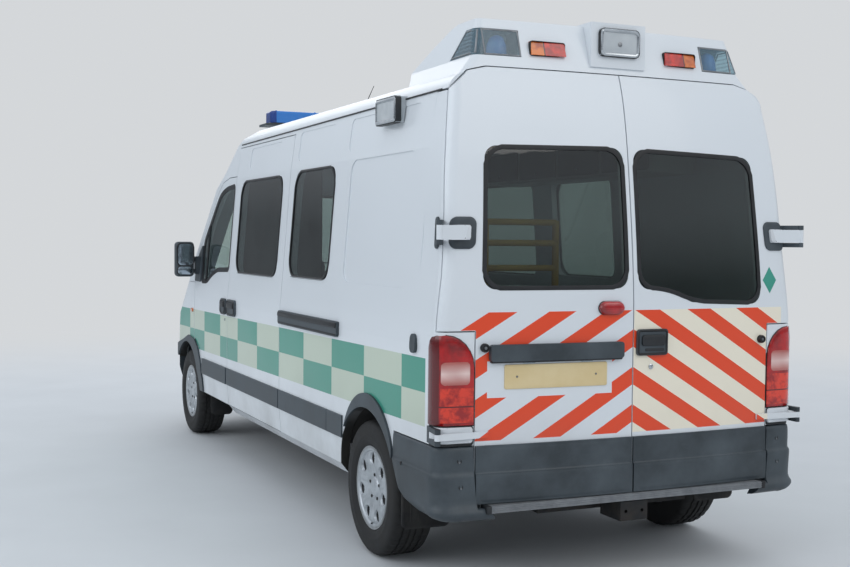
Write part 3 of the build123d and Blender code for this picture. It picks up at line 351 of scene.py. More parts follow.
def blue_lens(name):
    """Light bar and corner beacons: blue and ribbed over the cab, smoky and see-through at the back."""
    s = Shader(name)
    ribs = s.waves(60, "X")
    bar = s.mix(s.ramp(ribs, 0, 1, 0, 0.5), "3a86d2", "1f5fb4")
    bar = s.mix(s.over(s.absolute(s.x), 0.6), bar, "1a3f86")
    ridges = s.bump(ribs, 0.35, 0.002)
    solid = s.node("BsdfPrincipled", {"Base Color": bar, "Roughness": 0.12, "Normal": ridges})
    clear = s.node("BsdfTransparent", {"Color": "cfe4ea"})
    haze = s.node("BsdfDiffuse", {"Color": "86a3b0"})
    see = s.blend(s.ramp(s.waves(75, "X"), 0, 1, 0.15, 0.45), clear, haze)
    share, gloss = s.gloss(0.04, 1.5)
    return s.finish(s.blend(s.over(s.y, 0.0), solid, s.blend(share, see, gloss)))


def flood_lens(name):
    """Pale fluted lens of the flood lamp."""
    s = Shader(name)
    flute = s.waves(110, "X")
    tone = s.mix(s.ramp(s.noise(9, 2), 0.3, 0.7), "d3d8da", "b4bbbf")
    return s.moulded(s.mix(s.ramp(flute, 0, 1, 0.0, 0.6), tone, "8f979c"), 0.15, flute, 0.4)


def rubber(name, colour, worn, rough=0.72):
    s = Shader(name)
    tone = s.mix(s.ramp(s.noise(6, 5, 0.6), 0.4, 0.75), colour, worn)
    return s.principled(base_color=tone, roughness=rough, normal=s.bump(s.noise(300, 3), 0.25, 0.001))


def tyre_rubber(name):
    """Black rubber under patchy dust."""
    s = Shader(name)
    dust = s.ramp(s.noise(9, 5, 0.65), 0.35, 0.7)
    fine = s.bump(s.noise(420, 3), 0.3, 0.0008)
    tone = s.mix(dust, "121315", "2a2927")
    return s.principled(base_color=tone, roughness=s.ramp(dust, 0, 1, 0.62, 0.85), normal=fine)


def hub_paint(name):
    """Silver of the hub caps, browner towards the rim, with painted shade down in their slots."""
    s = Shader(name)
    along = s.math("MINIMUM", s.off(s.y, REAR_AXLE), s.off(s.y, FRONT_AXLE))
    radius = s.math("SQRT", s.squares(along, s.math("SUBTRACT", s.z, TYRE_R)))
    # Painted shade: the slots' floors turn near black and lose their metal
    slot = s.both(s.under(s.absolute(s.x), SLOT_PLANE), s.between(radius, *SLOT_BAND))
    tone = s.mix(s.ramp(s.noise(14, 5, 0.65), 0.4, 0.7), "c3c8cc", "a6abaf")
    tone = s.mix(s.ramp(radius, 0.19, 0.204, 0.0, 0.35), tone, "6f6a62")
    return s.principled(
        base_color=s.mix(slot, tone, "15161a"),
        metallic=s.math("SUBTRACT", 0.7, s.both(slot, 0.7)),
        roughness=s.ramp(s.noise(30, 4), 0.3, 0.7, 0.3, 0.42),
        normal=s.bump(s.noise(300, 2), 0.04, 0.0005),
    )


def cloth(name, colour, other, scale=700.0):
    s = Shader(name)
    weave = s.node("TexChecker", {"Vector": s.place, "Scale": scale}, output="Fac")
    tone = s.mix(s.ramp(s.noise(40, 4), 0.3, 0.7), colour, other)
    tone = s.mix(s.ramp(weave, 0, 1, 0, 0.18), tone, "0c1018")
    return s.principled(base_color=tone, roughness=0.9, sheen_weight=0.3, normal=s.bump(weave, 0.3, 0.0006))


# Each look: the function that makes it, its name and the function's values
LOOKS = {
    row[1]: row[0](*row[1:])
    for row in (
        (paint, "white_paint", True),
        (paint, "roof_paint", False),
        (plastic, "dark_plastic", "2f373c", "4b545a", 0.42, 900, 0.15),
        (plastic, "black_rail", "15171a", "2b2e31", 0.42),
        (glass, "clear_lamp", "dfe6ea", 0.05),
        (flood_lens, "flood_lens"),
        (glass, "window_glass", "c2cccb", 0.04, 1.7, 0.01),
        (glass, "screen_glass", "e6edeb", 0.02, 1.5, 0.0),
        (glass, "dark_glass", "b9c2be", 0.02, 1.6, 0.0, "5d6663"),
        (metal, "mirror_glass", "aeb9c2", 0.03, "a2adb6", 1.0, None, 0.02),
        (tail_lens, "tail_lens"),
        (tail_window, "tail_window"),
        (lens, "red_lamp", "c8141a", "6e050a"),
        (marker_lens, "amber_lamp"),
        (lens, "amber_lens", "e8791a", "a94806"),
        (blue_lens, "blue_lamp"),
        (lens, "blue_dome", "4a94d8", "1c56a0", 60.0),
        (metal, "chrome", "c6cacd", 0.1, "aab0b4", 1.0, None, 0.05),
        (plastic, "plate_yellow", "e3cfa2", "d8c08c", 0.35, 1400, 0.08),
        (plastic, "plate_white", "dfe0dc", "cfd0cc", 0.35, 1400, 0.08),
        (plastic, "green_mark", "2f8f7c", "3f9c89", 0.35, 700, 0.08),
        (plastic, "white_plastic", "dde1e5", "c4c8cb", 0.38, 900, 0.12),
        (metal, "step_aluminium", "94979a", 0.38, "808386", 1.0, (3, 1, 1), 0.08),
        (plastic, "underbody_paint", "1d1e1f", "3c3a36", 0.7, 120, 0.5),
        (metal, "chassis_steel", "2a2b2c", 0.55, "3b3632", 0.5),
        (metal, "engine_iron", "6c6f71", 0.45, "3d3b38", 0.8),
        (metal, "exhaust_steel", "8a857c", 0.4, "5b4636", 0.9),
        (rubber, "flap_rubber", "17181a", "3a3834"),
        (rubber, "seal_rubber", "0f1012", "24262a", 0.5),
        (plastic, "cabin_plastic", "6f757b", "7f858a", 0.5, 700, 0.2),
        (plastic, "lining", "c9cdcc", "b6bab8", 0.55, 500, 0.12),
        (plastic, "floor_sheet", "4a5964", "5d6b74", 0.6, 1200, 0.4),
        (cloth, "seat_fabric", "2f3b52", "3d4c66"),
        (plastic, "seat_vinyl", "1f4d6b", "2b6284", 0.4, 260, 0.3),
        (cloth, "pillow", "c9d4da", "b7c3cb", 900.0),
        (cloth, "strap", "8d1f24", "a12b2e", 1200.0),
        (plastic, "ramp_yellow", "d8ac24", "b98f1c", 0.4, 400, 0.15),
        (tyre_rubber, "tyre_rubber"),
        (hub_paint, "hubcap_silver"),
    )
}


def by_name(table):
    """Table of key: names, as a table of name: key."""
    return {name: key for key, names in table.items() for name in names.split()}


# The record's slot of each look that isn't one itself, or None
SLOT_OF = by_name({
    "white_paint": "roof_paint plate_white white_plastic",
    "clear_lamp": "flood_lens tail_window",
    "window_glass": "screen_glass dark_glass",
    "hubcap_silver": "mirror_glass chrome",
    "red_lamp": "tail_lens",
    "amber_lamp": "amber_lens",
    "blue_lamp": "blue_dome",
    "flap_rubber": "seal_rubber",
    "cabin_plastic": "lining floor_sheet",
    None: "plate_yellow green_mark pillow strap",
})
# Nodes whose look isn't their slot's own
NODE_LOOKS = by_name({
    "roof_paint": "roof_panel roof_light_pod",
    "dark_glass": "rear_left_glass rear_right_glass",
    "screen_glass": "windscreen front_left_glass front_right_glass",
    "tail_lens": "tail_lamps",
    "flood_lens": "flood_lamps",
    "dark_plastic": "rear_hinges front_left_trim front_right_trim",
})
for name, piece in nodes.items():
    for holder in piece.material_slots:
        key = holder.material.name.split(".")[0]
        holder.material = LOOKS[NODE_LOOKS.get(name, key)]


# Places on the bodywork: half width by height, bow of the rear face, radius of the rear corners
SIDE = ((0.34, 0.93), (0.4, 0.978), (0.56, 0.992), (1.13, 0.992), (2.04, 0.92), (2.3, 0.885))
BOW = 0.0476
CORNER_R = 0.06


def read(rows, z):
    """Second column of a table, read at z between its rows."""
    for (z0, a0), (z1, a1) in zip(rows, rows[1:]):
        if z <= z1:
            return a0 + (a1 - a0) * (z - z0) / (z1 - z0)
    return rows[-1][1]


def spread(first, last, parts):
    return [first + (last - first) * k / parts for k in range(parts + 1)]


def span(sign, a, b):
    """Two places on one side of the vehicle, in rising order."""
    return sorted((sign * a, sign * b))


def on_axis(axis, value, u=0, v=0):
    """Vector with a value along one axis and u, v along the others."""
    parts = [u, v]
    parts.insert(axis, value)
    return Vector(parts)


FAR = 6.0


class Cast:
    """Surface of some nodes as seen along an axis: a call gives the point that lies there and its normal."""

    def __init__(self, axis, sign, *names):
        self.axis, self.sign = axis, sign
        points, faces = [], []
        for name in names:
            mesh = nodes[name].data
            first = len(points)
            points += [v.co.copy() for v in mesh.vertices]
            faces += [[first + i for i in p.vertices] for p in mesh.polygons]
        self.tree = BVHTree.FromPolygons(points, faces)

    def __call__(self, u, v):
        way = on_axis(self.axis, -self.sign)
        for shift in (0, 0.008, -0.008, 0.016, -0.016, 0.03, -0.03):
            point, normal = self.tree.ray_cast(on_axis(self.axis, FAR * self.sign, u, v + shift), way)[:2]
            if point is not None:
                point[2 if self.axis < 2 else 1] -= shift
                return point, normal if normal.dot(way) < 0 else -normal
        raise ValueError(f"nothing lies at {u:.3f}, {v:.3f}")


rear_cast = Cast(1, 1, "rear_left_door")
REAR = []
for z in (0.45, 0.6, 0.68, 0.85, 1.0, 1.2, 1.35, 1.5, 1.65, 1.8, 1.95, 2.1, 2.2, 2.28, 2.36):
    x = 0.8 if z < 2.3 else 0.6
    REAR.append((z, rear_cast(x, z)[0].y + BOW * x * x))


LEAN_STEP = 0.02


def rear(x, z):
    """Rear face of the body and doors, between its round corners."""
    lean = (read(REAR, z + LEAN_STEP) - read(REAR, z - LEAN_STEP)) / (2 * LEAN_STEP)
    normal = Vector((2 * BOW * x, 1.0, -lean)).normalized()
    return Vector((x, read(REAR, z) - BOW * x * x, z)), normal


def wrap(sign):
    """Round a rear corner: u is 0 where the corner starts on the rear face and grows towards the side."""

    def at(u, z):
        x_side = read(SIDE, z)
        cx = x_side - CORNER_R
        slope = 2 * BOW * cx
        arc_x = cx + CORNER_R * math.sin(slope)
        cy = read(REAR, z) - BOW * arc_x**2 - CORNER_R * math.cos(slope)
        turn = slope + u / CORNER_R
        if u < 0:
            x = arc_x + u
            y = read(REAR, z) - BOW * x * x
            return Vector((sign * x, y, z)), Vector((sign * 2 * BOW * x, 1, 0.1)).normalized()
        if turn > math.pi / 2:
            y = cy - (turn - math.pi / 2) * CORNER_R
            return Vector((sign * x_side, y, z)), Vector((sign, 0, 0.04)).normalized()
        out = Vector((sign * math.sin(turn), math.cos(turn), 0))
        return Vector((sign * cx, cy, z)) + CORNER_R * out, out

    return at


def side(sign):
    """Body side behind the cab: u runs along the vehicle."""
    return lambda y, z: (Vector((sign * read(SIDE, z), y, z)), Vector((sign, 0, 0.06)).normalized())


def flat(axis, place, sign=1):
    """Plane across an axis."""
    return lambda u, v: (on_axis(axis, place, u, v), on_axis(axis, sign))


def tilted(origin, across, up):
    """Plane through a point, spanned by two directions."""
    across, up = Vector(across).normalized(), Vector(up).normalized()
    return lambda u, v: (Vector(origin) + across * u + up * v, across.cross(up).normalized())


def over(at, u, v, height):
    """Point at a height over a surface, and the normal there."""
    point, normal = at(u, v)
    return point + normal * height, normal


# Outlines
def rounded(u0, u1, v0, v1, radius, steps=5):
    return soft_corners([(u0, v0), (u1, v0), (u1, v1), (u0, v1)], radius, steps)


def soft_corners(points, radius, steps=5):
    """Outline with each corner cut back by a distance and closed with a curve."""
    made = []
    points = [Vector(p) for p in points]
    for i, corner in enumerate(points):
        back = points[i - 1] - corner
        on = points[(i + 1) % len(points)] - corner
        cut = min(radius, 0.49 * back.length, 0.49 * on.length)
        first = corner + back.normalized() * cut
        last = corner + on.normalized() * cut
        pull = 0.35 * (first + last) / 2 + 0.65 * corner
        made += [first * (1 - t) ** 2 + last * t**2 + 2 * t * (1 - t) * pull for t in spread(0, 1, steps)]
    return made


def dense(points, step=0.06):
    """Outline with its long runs divided, so that it follows a curved surface."""
    outline = [Vector(p) for p in points]
    made = []
    for point, on in zip(outline, outline[1:] + outline[:1]):
        parts = max(1, int((on - point).length / step))
        made += [point.lerp(on, k / parts) for k in range(parts)]
    return made


def oblong(outline):
    """Outline as points; numbers stand for an oblong: its sides, the radius of its corners and dense's step."""
    if isinstance(outline[0], Vector):
        return outline
    return dense(rounded(*outline[:5]), *outline[5:])


def anticlockwise(outline):
    area = sum(a.x * b.y - b.x * a.y for a, b in zip(outline, outline[1:] + outline[:1]))
    return outline if area > 0 else list(reversed(outline))


def grown(outline, amount):
    """Anticlockwise outline moved outwards by an amount."""
    made = []
    for i, point in enumerate(outline):
        before = (point - outline[i - 1]).normalized()
        after = (outline[(i + 1) % len(outline)] - point).normalized()
        along = (before + after).normalized()
        made.append(point + Vector((along.y, -along.x)) * amount / max(0.4, along.dot(after)))
    return made


def circle(centre, radius, first, second, sides):
    """Points round a centre, in the plane of two directions."""
    turns = [2 * math.pi * k / sides for k in range(sides)]
    return [centre + radius * (math.cos(t) * first + math.sin(t) * second) for t in turns]


def raised(low, high, soft=0.002):
    """Rings of a plate: its foot, its wall and its rounded edge."""
    return [(0, low), (0, high - soft), (-0.3 * soft, high - 0.3 * soft), (-soft, high)]


# Pieces
class Piece:
    """One mesh under construction: shapes are added to it, and it joins the scene when the block ends."""

    def __init__(self, name, look, body="root", replaces=(), padded=None, crease=35):
        self.name, self.look, self.body = name, look, body
        self.replaced, self.fill, self.crease = replaces, padded, crease
        self.bm = bmesh.new()

    def __enter__(self):
        return self

    def __exit__(self, kind, error, trace):
        if kind:
            return
        mesh = bpy.data.meshes.new(self.name)
        bmesh.ops.recalc_face_normals(self.bm, faces=self.bm.faces)
        self.bm.to_mesh(mesh)
        self.bm.free()
        for face in mesh.polygons:
            face.use_smooth = True
        mesh.set_sharp_from_angle(angle=math.radians(self.crease))
        mesh.materials.append(LOOKS[self.look])
        made = bpy.data.objects.new(self.name, mesh)
        scene.collection.objects.link(made)
        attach(made, self.body)
        if self.replaced:
            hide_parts(*self.replaced)

    def skin(self, rings, closed=False, caps=True):
        """Faces between rings of points; the rings may close on themselves."""
        made = [[self.bm.verts.new(p) for p in ring] for ring in rings]
        for a, b in list(zip(made, made[1:])) + ([(made[-1], made[0])] if closed else []):
            for i in range(len(a)):
                j = (i + 1) % len(a)
                self.bm.faces.new((a[i], a[j], b[j], b[i]))
        if caps and not closed:
            self.bm.faces.new(made[0])
            self.bm.faces.new(made[-1])
        return made

    def moulding(self, outline, at, rings, shrink=1, crown=0.0, closed=False):
        """Outline laid on a surface, with rings of (grow, height); the top swells by crown to its middle."""
        outline = anticlockwise(oblong(outline))
        loops = [[over(at, *q, height)[0] for q in grown(outline, grow)] for grow, height in rings]
        if closed:
            self.skin(loops, closed=True)
            return
        grow, height = rings[-1]
        top = grown(outline, grow)
        middle = sum(top, Vector((0, 0))) / len(top)
        for k in range(1, shrink):
            share = 1 - k / shrink
            swell = height + crown * (1 - share**2)
            loops.append([over(at, *(middle + (q - middle) * share), swell)[0] for q in top])
        made = self.skin(loops, caps=False)
        self.bm.faces.new(made[0])
        centre = self.bm.verts.new(over(at, *middle, height + crown)[0])
        for a, b in zip(made[-1], made[-1][1:] + made[-1][:1]):
            self.bm.faces.new((a, b, centre))

    def bead(self, outline, at, inner, outer, height, root=-0.003):
        """Strip that runs round an outline, from inner to outer beside it."""
        mid = (inner + outer) / 2
        rings = [(inner, root), (inner, 0.6 * height), (mid, height), (outer, 0.5 * height), (outer, root)]
        self.moulding(outline, at, rings, closed=True)

    def tube(self, points, radius, sides=8, closed=False):
        """Round bar along a run of points; radius may be one number or one for each point."""
        points = [Vector(p) for p in points]
        radii = radius if isinstance(radius, (list, tuple)) else [radius] * len(points)
        rings = []
        normal = None
        for i, point in enumerate(points):
            before = points[i - 1] if i or closed else point
            after = points[(i + 1) % len(points)] if i < len(points) - 1 or closed else point
            along = (after - before).normalized()
            if normal is None:
                normal = along.orthogonal().normalized()
            normal = (normal - along * normal.dot(along)).normalized()
            rings.append(circle(point, radii[i], normal, along.cross(normal), sides))
        self.skin(rings, closed)

    def lathe(self, profile, centre, axis, sides=24, closed=False):
        """Profile of (radius, height) turned about an axis through a centre."""
        axis = Vector(axis).normalized()
        first = axis.orthogonal().normalized()
        turned = [circle(Vector(centre) + axis * h, r, first, axis.cross(first), sides) for r, h in profile]
        self.skin(turned, closed)

    def block(self, low, high, soft=0.003):
        """Box between two corners with softened edges."""
        (x0, y0, z0), (x1, y1, z1) = low, high
        rings = [(-soft, 0), (-0.3 * soft, 0.3 * soft), (0, soft)]
        rings += [(0, z1 - z0 - soft), (-0.3 * soft, z1 - z0 - 0.3 * soft), (-soft, z1 - z0)]
        self.moulding(rounded(x0, x1, y0, y1, soft * 1.5, 3), flat(2, z0), rings)

    def screw(self, place, axis, radius=0.006, height=0.003):
        """Domed screw head with a socket."""
        profile = [(radius, -0.002), (radius, 0.4 * height), (0.8 * radius, height), (0.4 * radius, height)]
        self.lathe(profile + [(0.35 * radius, 0.3 * height), (0.001, 0.3 * height)], place, axis, 12)


# Pieces that are one shape, or several of one kind
def moulding(name, look, outline, at, rings, shrink=1, body="root", **options):
    with Piece(name, look, body, **options) as p:
        p.moulding(outline, at, rings, shrink)


def bead(name, look, outline, at, *profile, body="root"):
    """Strip round an outline; its profile is its inner and outer edge, its height and its root."""
    with Piece(name, look, body) as p:
        p.bead(outline, at, *profile)


def lathe(name, look, profile, *places, sides=24, body="root"):
    """Turned forms, each place being a centre and an axis."""
    with Piece(name, look, body) as p:
        for centre, axis in places:
            p.lathe(profile, centre, axis, sides)


def screws(name, at, places, *sizes, body="root"):
    """Screw heads at places on a surface, given as u, v and height over it."""
    with Piece(name, "step_aluminium", body) as p:
        for place in places:
            p.screw(*over(at, *place), *sizes)


def bars(name, look, runs, radius, sides=8, body="root"):
    with Piece(name, look, body) as p:
        for points in runs:
            p.tube(points, radius, sides)


# Rear doors: window rubbers, plate, lock, door stops, handle
LEFT, RIGHT = "rear_left_leaf", "rear_right_leaf"
LEFT_GLASS = ((0.028, 1.392), (0.78, 1.392), (0.745, 2.04), (0.028, 2.054))
RIGHT_GLASS = (
    (-0.028, 2.052), (-0.742, 2.034), (-0.772, 1.306), (-0.336, 1.322), (-0.196, 1.386), (-0.028, 1.386)
)
for name, points, leaf in (("left", LEFT_GLASS, LEFT), ("right", RIGHT_GLASS, RIGHT)):
    name, outline = f"rear_{name}_window_rubber", dense(soft_corners(points, 0.085))
    bead(name, "seal_rubber", outline, rear, -0.016, 0.005, 0.0035, -0.008, body=leaf)

outline = 0.144, 0.672, 0.942, 1.053, 0.008
moulding("number_plate", "plate_yellow", outline, rear, raised(-0.002, 0.005), 4, LEFT)
screws("number_plate_screws", rear, [(x, 0.998, 0.005) for x in (0.205, 0.611)], 0.005, body=LEFT)
with Piece("plate_lamps", "clear_lamp", LEFT) as p:
    for x in (0.26, 0.556):
        point = rear(x, 1.066)[0]
        p.block(point + Vector((-0.03, 0.004, -0.008)), point + Vector((0.03, 0.02, 0.004)), 0.002)
moulding("garnish_lip", "black_rail", (0.07, 0.742, 1.062, 1.074, 0.005), rear, raised(0, 0.02), 4, LEFT)
STOP = ((0.02, 0.0), (0.02, 0.016), (0.017, 0.022), (0.012, 0.022), (0.011, 0.017), (0.001, 0.017))
for hand, sign in SIDES:
    name, leaf, spot = f"rear_{hand}_stop", f"rear_{hand}_leaf", (sign * 0.771, 1.132)
    lathe(name, "seal_rubber", STOP, rear(*spot), body=leaf)
    screws(f"{name}_cap", rear, [(*spot, 0.017)], 0.008, 0.004, body=leaf)

LOCK = ((0.013, 0), (0.013, 0.003), (0.01, 0.005), (0.004, 0.005), (0.003, 0.002), (0.001, 0.002))
lathe("rear_lock", "chrome", LOCK, rear(-0.101, 1.02), body=RIGHT)
outline = -0.19, -0.016, 1.074, 1.199, 0.018
bead("rear_handle_frame", "black_rail", outline, rear, -0.014, 0.0, 0.018, 0.01, body=RIGHT)
with Piece("rear_handle_paddle", "black_rail", RIGHT) as p:
    p.moulding((-0.172, -0.04, 1.12, 1.172, 0.012), rear, raised(0.01, 0.02, 0.004), 2)
    p.moulding((-0.168, -0.06, 1.094, 1.108, 0.006), rear, raised(0.01, 0.014, 0.002))
diamond = dense(((-0.877, 1.425), (-0.832, 1.359), (-0.787, 1.425), (-0.832, 1.491)), 0.02)
moulding("green_diamond", "green_mark", diamond, rear, [(0, -0.0005), (0, 0.0008)], 3, RIGHT)
outline = 0.056, 0.195, 1.269, 1.335, 0.03, 0.02
moulding("brake_lamp_base", "black_rail", outline, rear, raised(0, 0.006, 0.002), 2, LEFT)
with Piece("brake_lamp_lens", "red_lamp", LEFT, replaces=("high_brake_lamp",)) as p:
    rings = [(0, 0.004), (0, 0.012), (-0.002, 0.018), (-0.006, 0.0225), (-0.012, 0.025)]
    p.moulding((0.058, 0.193, 1.271, 1.333, 0.03, 0.02), rear, rings, 3, 0.002)

# Step tread and its end caps
runs = [[(x, REAR_AXLE + 0.872 + 0.007 * k, 0.4255) for x in (-0.755, 0.755)] for k in range(9)]
runs += [[(x, REAR_AXLE + 0.9355, z) for x in (-0.765, 0.765)] for z in (0.402, 0.411, 0.42)]
bars("step_tread", "step_aluminium", runs, 0.0022, 6)
with Piece("step_ends", "black_rail") as p:
    for sign in (1, -1):
        low, high = span(sign, 0.752, 0.776)
        p.block((low, REAR_AXLE + 0.862, 0.392), (high, REAR_AXLE + 0.94, 0.429), 0.004)

# Side windows: rubbers, with a bright bead along the bottom
SIDE_WINDOWS = (("slide", -2.65, -1.66, 1.365, 2.01), ("rear", -1.4, -0.67, 1.38, 2.02))
for hand, sign in SIDES:
    for window, front, back, low, high in SIDE_WINDOWS:
        name, front, back = f"{hand}_{window}_window", REAR_AXLE + front, REAR_AXLE + back
        outline = dense(rounded(front, back, low, high, 0.1, 7))
        bead(f"{name}_rubber", "seal_rubber", outline, side(sign), -0.009, 0.006, 0.006, -0.006)
        run = [over(side(sign), y, low - 0.002, 0.006)[0] for y in spread(front + 0.06, back - 0.06, 8)]
        bars(f"{name}_bead", "chrome", [run], 0.0022, 6)

# Gutters, sliding door's handle and rail
for hand, sign in SIDES:
    run = [(sign * 0.8895, y, z) for y, z in zip(spread(-0.78, 2.66, 16), spread(2.281, 2.299, 16))]
    bars(f"{hand}_gutter", "seal_rubber", [run], 0.0045, 6)
outline = REAR_AXLE - 1.49, REAR_AXLE - 0.43, 1.086, 1.096, 0.004
moulding("slide_rail_slot", "seal_rubber", outline, side(1), raised(0.01, 0.0195, 0.001), 2)
outline = REAR_AXLE - 1.495, REAR_AXLE - 0.425, 1.128, 1.158, 0.01
moulding("slide_rail_lip", "black_rail", outline, side(1), raised(0.014, 0.024, 0.004), 2)
HANDLE_LOW, HANDLE_TOP = 1.056, 1.164


def pull_handle(name, body, at, y0, y1, out):
    """Flap handle: a raised frame with a paddle inside it."""
    outline = y0, y1, HANDLE_LOW, HANDLE_TOP, 0.03
    bead(f"{name}_frame", "black_rail", outline, at, -0.014, 0.0, out + 0.006, out - 0.004, body=body)
    outline = y0 + 0.022, y1 - 0.022, HANDLE_LOW + 0.05, HANDLE_TOP - 0.018, 0.01
    moulding(f"{name}_paddle", "black_rail", outline, at, raised(out - 0.002, out + 0.009, 0.004), 2, body)


pull_handle("slide_handle", "root", side(1), REAR_AXLE - 2.785, REAR_AXLE - 2.565, 0.014)

# Front doors: window rubber, quarter bar, mirror glass, handle, lock
DOOR_GLASS = (
    (-0.838, 1.375), (-0.838, 1.992), (-1.045, 1.98), (-1.165, 1.958), (-1.255, 1.925), (-1.335, 1.86),
    (-1.64, 1.58), (-1.64, 1.262), (-1.475, 1.266), (-1.325, 1.325), (-1.17, 1.364),
)
DOOR_OUTLINE = grown(anticlockwise(dense(soft_corners(DOOR_GLASS, 0.03, 3))), 0.008)
DOOR_LOCK = ((0.011, 0), (0.011, 0.003), (0.008, 0.004), (0.001, 0.002))
mirror = flat(1, -1.7)
for hand, sign in SIDES:
    door, leaf = f"front_{hand}", f"front_{hand}_leaf"
    skin = Cast(0, sign, f"{door}_door", f"{door}_glass")
    bead(f"{door}_window_rubber", "seal_rubber", DOOR_OUTLINE, skin, -0.03, 0.004, 0.004, -0.003, body=leaf)
    run = [over(skin, -1.5, z, 0.003)[0] for z in spread(1.275, 1.7, 10)]
    bars(f"{door}_quarter_bar", "seal_rubber", [run], 0.009, body=leaf)
    xs = span(sign, 1.036, 1.16)
    with Piece(f"mirror_{hand}_glass", "mirror_glass", leaf) as p:
        p.moulding(rounded(*xs, 1.392, 1.56, 0.03), mirror, [(0, -0.002), (0, 0.001), (-0.02, 0.0016)])
        p.moulding(rounded(*xs, 1.318, 1.38, 0.025), mirror, [(0, -0.002), (0, 0.001), (-0.01, 0.003)])
    with Piece(f"mirror_{hand}_frame", "black_rail", leaf) as p:
        p.bead(rounded(*xs, 1.39, 1.562, 0.03), mirror, -0.002, 0.009, 0.006, -0.004)
        p.bead(rounded(*xs, 1.316, 1.382, 0.025), mirror, -0.002, 0.007, 0.006, -0.004)
    pull_handle(f"{door}_handle", leaf, skin, REAR_AXLE - 2.975, REAR_AXLE - 2.835, 0.012)
    lathe(f"{door}_lock", "chrome", DOOR_LOCK, skin(-0.865, 1.015), sides=16, body=leaf)

# Lamp pod: marker rims, flood lamp's bezel, corner beacons
POD_LAMP_REAR = REAR_AXLE + 0.756
pod = Cast(1, 1, "roof_light_pod", "marker_lamps", "flood_lamps", "blue_lamps")
for hand, sign in SIDES:
    x0, x1 = span(sign, 0.283, 0.464)
    marker = flat(1, pod((x0 + x1) / 2, 2.508)[0].y - 0.006)
    outline = rounded(x0, x1, 2.476, 2.54, 0.008)
    bead(f"marker_{hand}_rim", "flap_rubber", outline, marker, 0.0, 0.0035, 0.003, -0.016)
face = flat(1, POD_LAMP_REAR)
outline = rounded(-0.104, 0.104, 2.5, 2.617, 0.02)
bead("flood_bezel", "chrome", outline, face, -0.008, 0.006, 0.007, -0.008)
outline = rounded(-0.11, 0.11, 2.494, 2.623, 0.02)
bead("flood_shroud", "black_rail", outline, face, 0.0, 0.003, 0.002, -0.013)
bulb = ((0.012, 0), (0.012, 0.001), (0.005, 0.003), (0.001, 0.003))
lathe("flood_bulb", "step_aluminium", bulb, ((0, POD_LAMP_REAR, 2.552), (0, 1, 0)), sides=16)

BEACON_SIDE = [(REAR_AXLE + y, z) for y, z in ((0.44, 2.462), (0.7, 2.462), (0.662, 2.592), (0.56, 2.592))]
DOME = ((0.05, 0.0), (0.052, 0.012), (0.047, 0.06), (0.036, 0.092), (0.018, 0.106), (0.001, 0.108))
REFLECTOR = ((0.056, 0.0), (0.06, 0.004), (0.06, 0.01), (0.052, 0.012), (0.001, 0.012))
for hand, sign in SIDES:
    beacon = f"beacon_{hand}"
    with Piece(f"{beacon}_frame", "step_aluminium") as p:
        x0, x1 = span(sign, 0.513, 0.7)
        outline = dense(((x0, 2.464), (x1, 2.464), (x1, 2.59), (x0, 2.59)), 0.04)
        p.bead(outline, pod, -0.007, 0.0, 0.003)
        outline = grown(anticlockwise(dense(BEACON_SIDE, 0.04)), -0.006)
        p.bead(outline, Cast(0, sign, "blue_lamps"), -0.006, 0.0, 0.003)
    base = (sign * 0.6, REAR_AXLE + 0.63, 2.463), (0, 0, 1)
    lathe(f"{beacon}_dome", "blue_dome", DOME, base)
    lathe(f"{beacon}_reflector", "chrome", REFLECTOR, base)
    with Piece(f"{beacon}_bay", "dark_plastic") as p:
        x0, x1 = span(sign, 0.512, 0.7)
        p.block((x0, REAR_AXLE + 0.46, 2.4625), (x1, REAR_AXLE + 0.69, 2.466), 0.001)
        x0, x1 = span(sign, 0.512, 0.516)
        p.block((x0, REAR_AXLE + 0.56, 2.466), (x1, REAR_AXLE + 0.68, 2.588), 0.001)

# Alley lamps over the side, light bar's ribs, whip aerial
outline = rounded(REAR_AXLE - 0.02, REAR_AXLE + 0.24, 2.187, 2.308, 0.012)
for hand, sign in SIDES:
    face = flat(0, sign * 0.945, sign)
    bead(f"alley_{hand}_frame", "chrome", outline, face, -0.016, 0.001, 0.006, -0.006)
    bead(f"alley_{hand}_shroud", "black_rail", outline, face, 0.0, 0.006, 0.0, -0.028)
with Piece("light_bar_ribs", "blue_lamp") as p:
    for x in (-0.6, -0.3, 0.0, 0.3, 0.6):
        p.moulding(rounded(-1.067, -0.894, 2.462, 2.559, 0.012), flat(0, x - 0.006), raised(0, 0.012, 0.003))
outline = rounded(-0.642, 0.642, -1.068, -0.893, 0.045)
bead("light_bar_seam", "black_rail", outline, flat(2, 2.462), -0.004, 0.005, 0.006, -0.003)
with Piece("aerial", "seal_rubber") as p:
    foot, normal = Cast(2, 1, "roof_panel")(0.3, 0.15)
    tip = foot + Vector((0.0, 0.16, 0.15))
    p.lathe([(0.022, -0.004), (0.022, 0.006), (0.012, 0.022), (0.006, 0.034), (0.001, 0.036)], foot, normal, 16)
    middle = foot.lerp(tip, 0.5) + Vector((0, -0.008, 0.012))
    p.tube([foot + normal * 0.03, middle, tip], [0.0035, 0.0028, 0.002])


# Rear corners: tail lamps, hinges, bumper, mudflaps
LAMP_OUTLINE = dense((
    (-0.118, 0.786), (0.112, 0.786), (0.118, 0.792), (0.118, 1.135), (0.11, 1.165), (0.092, 1.182),
    (0.06, 1.19), (0.02, 1.19), (-0.015, 1.183), (-0.045, 1.17), (-0.075, 1.147), (-0.098, 1.117),
    (-0.112, 1.085), (-0.118, 1.045),
), 0.03)
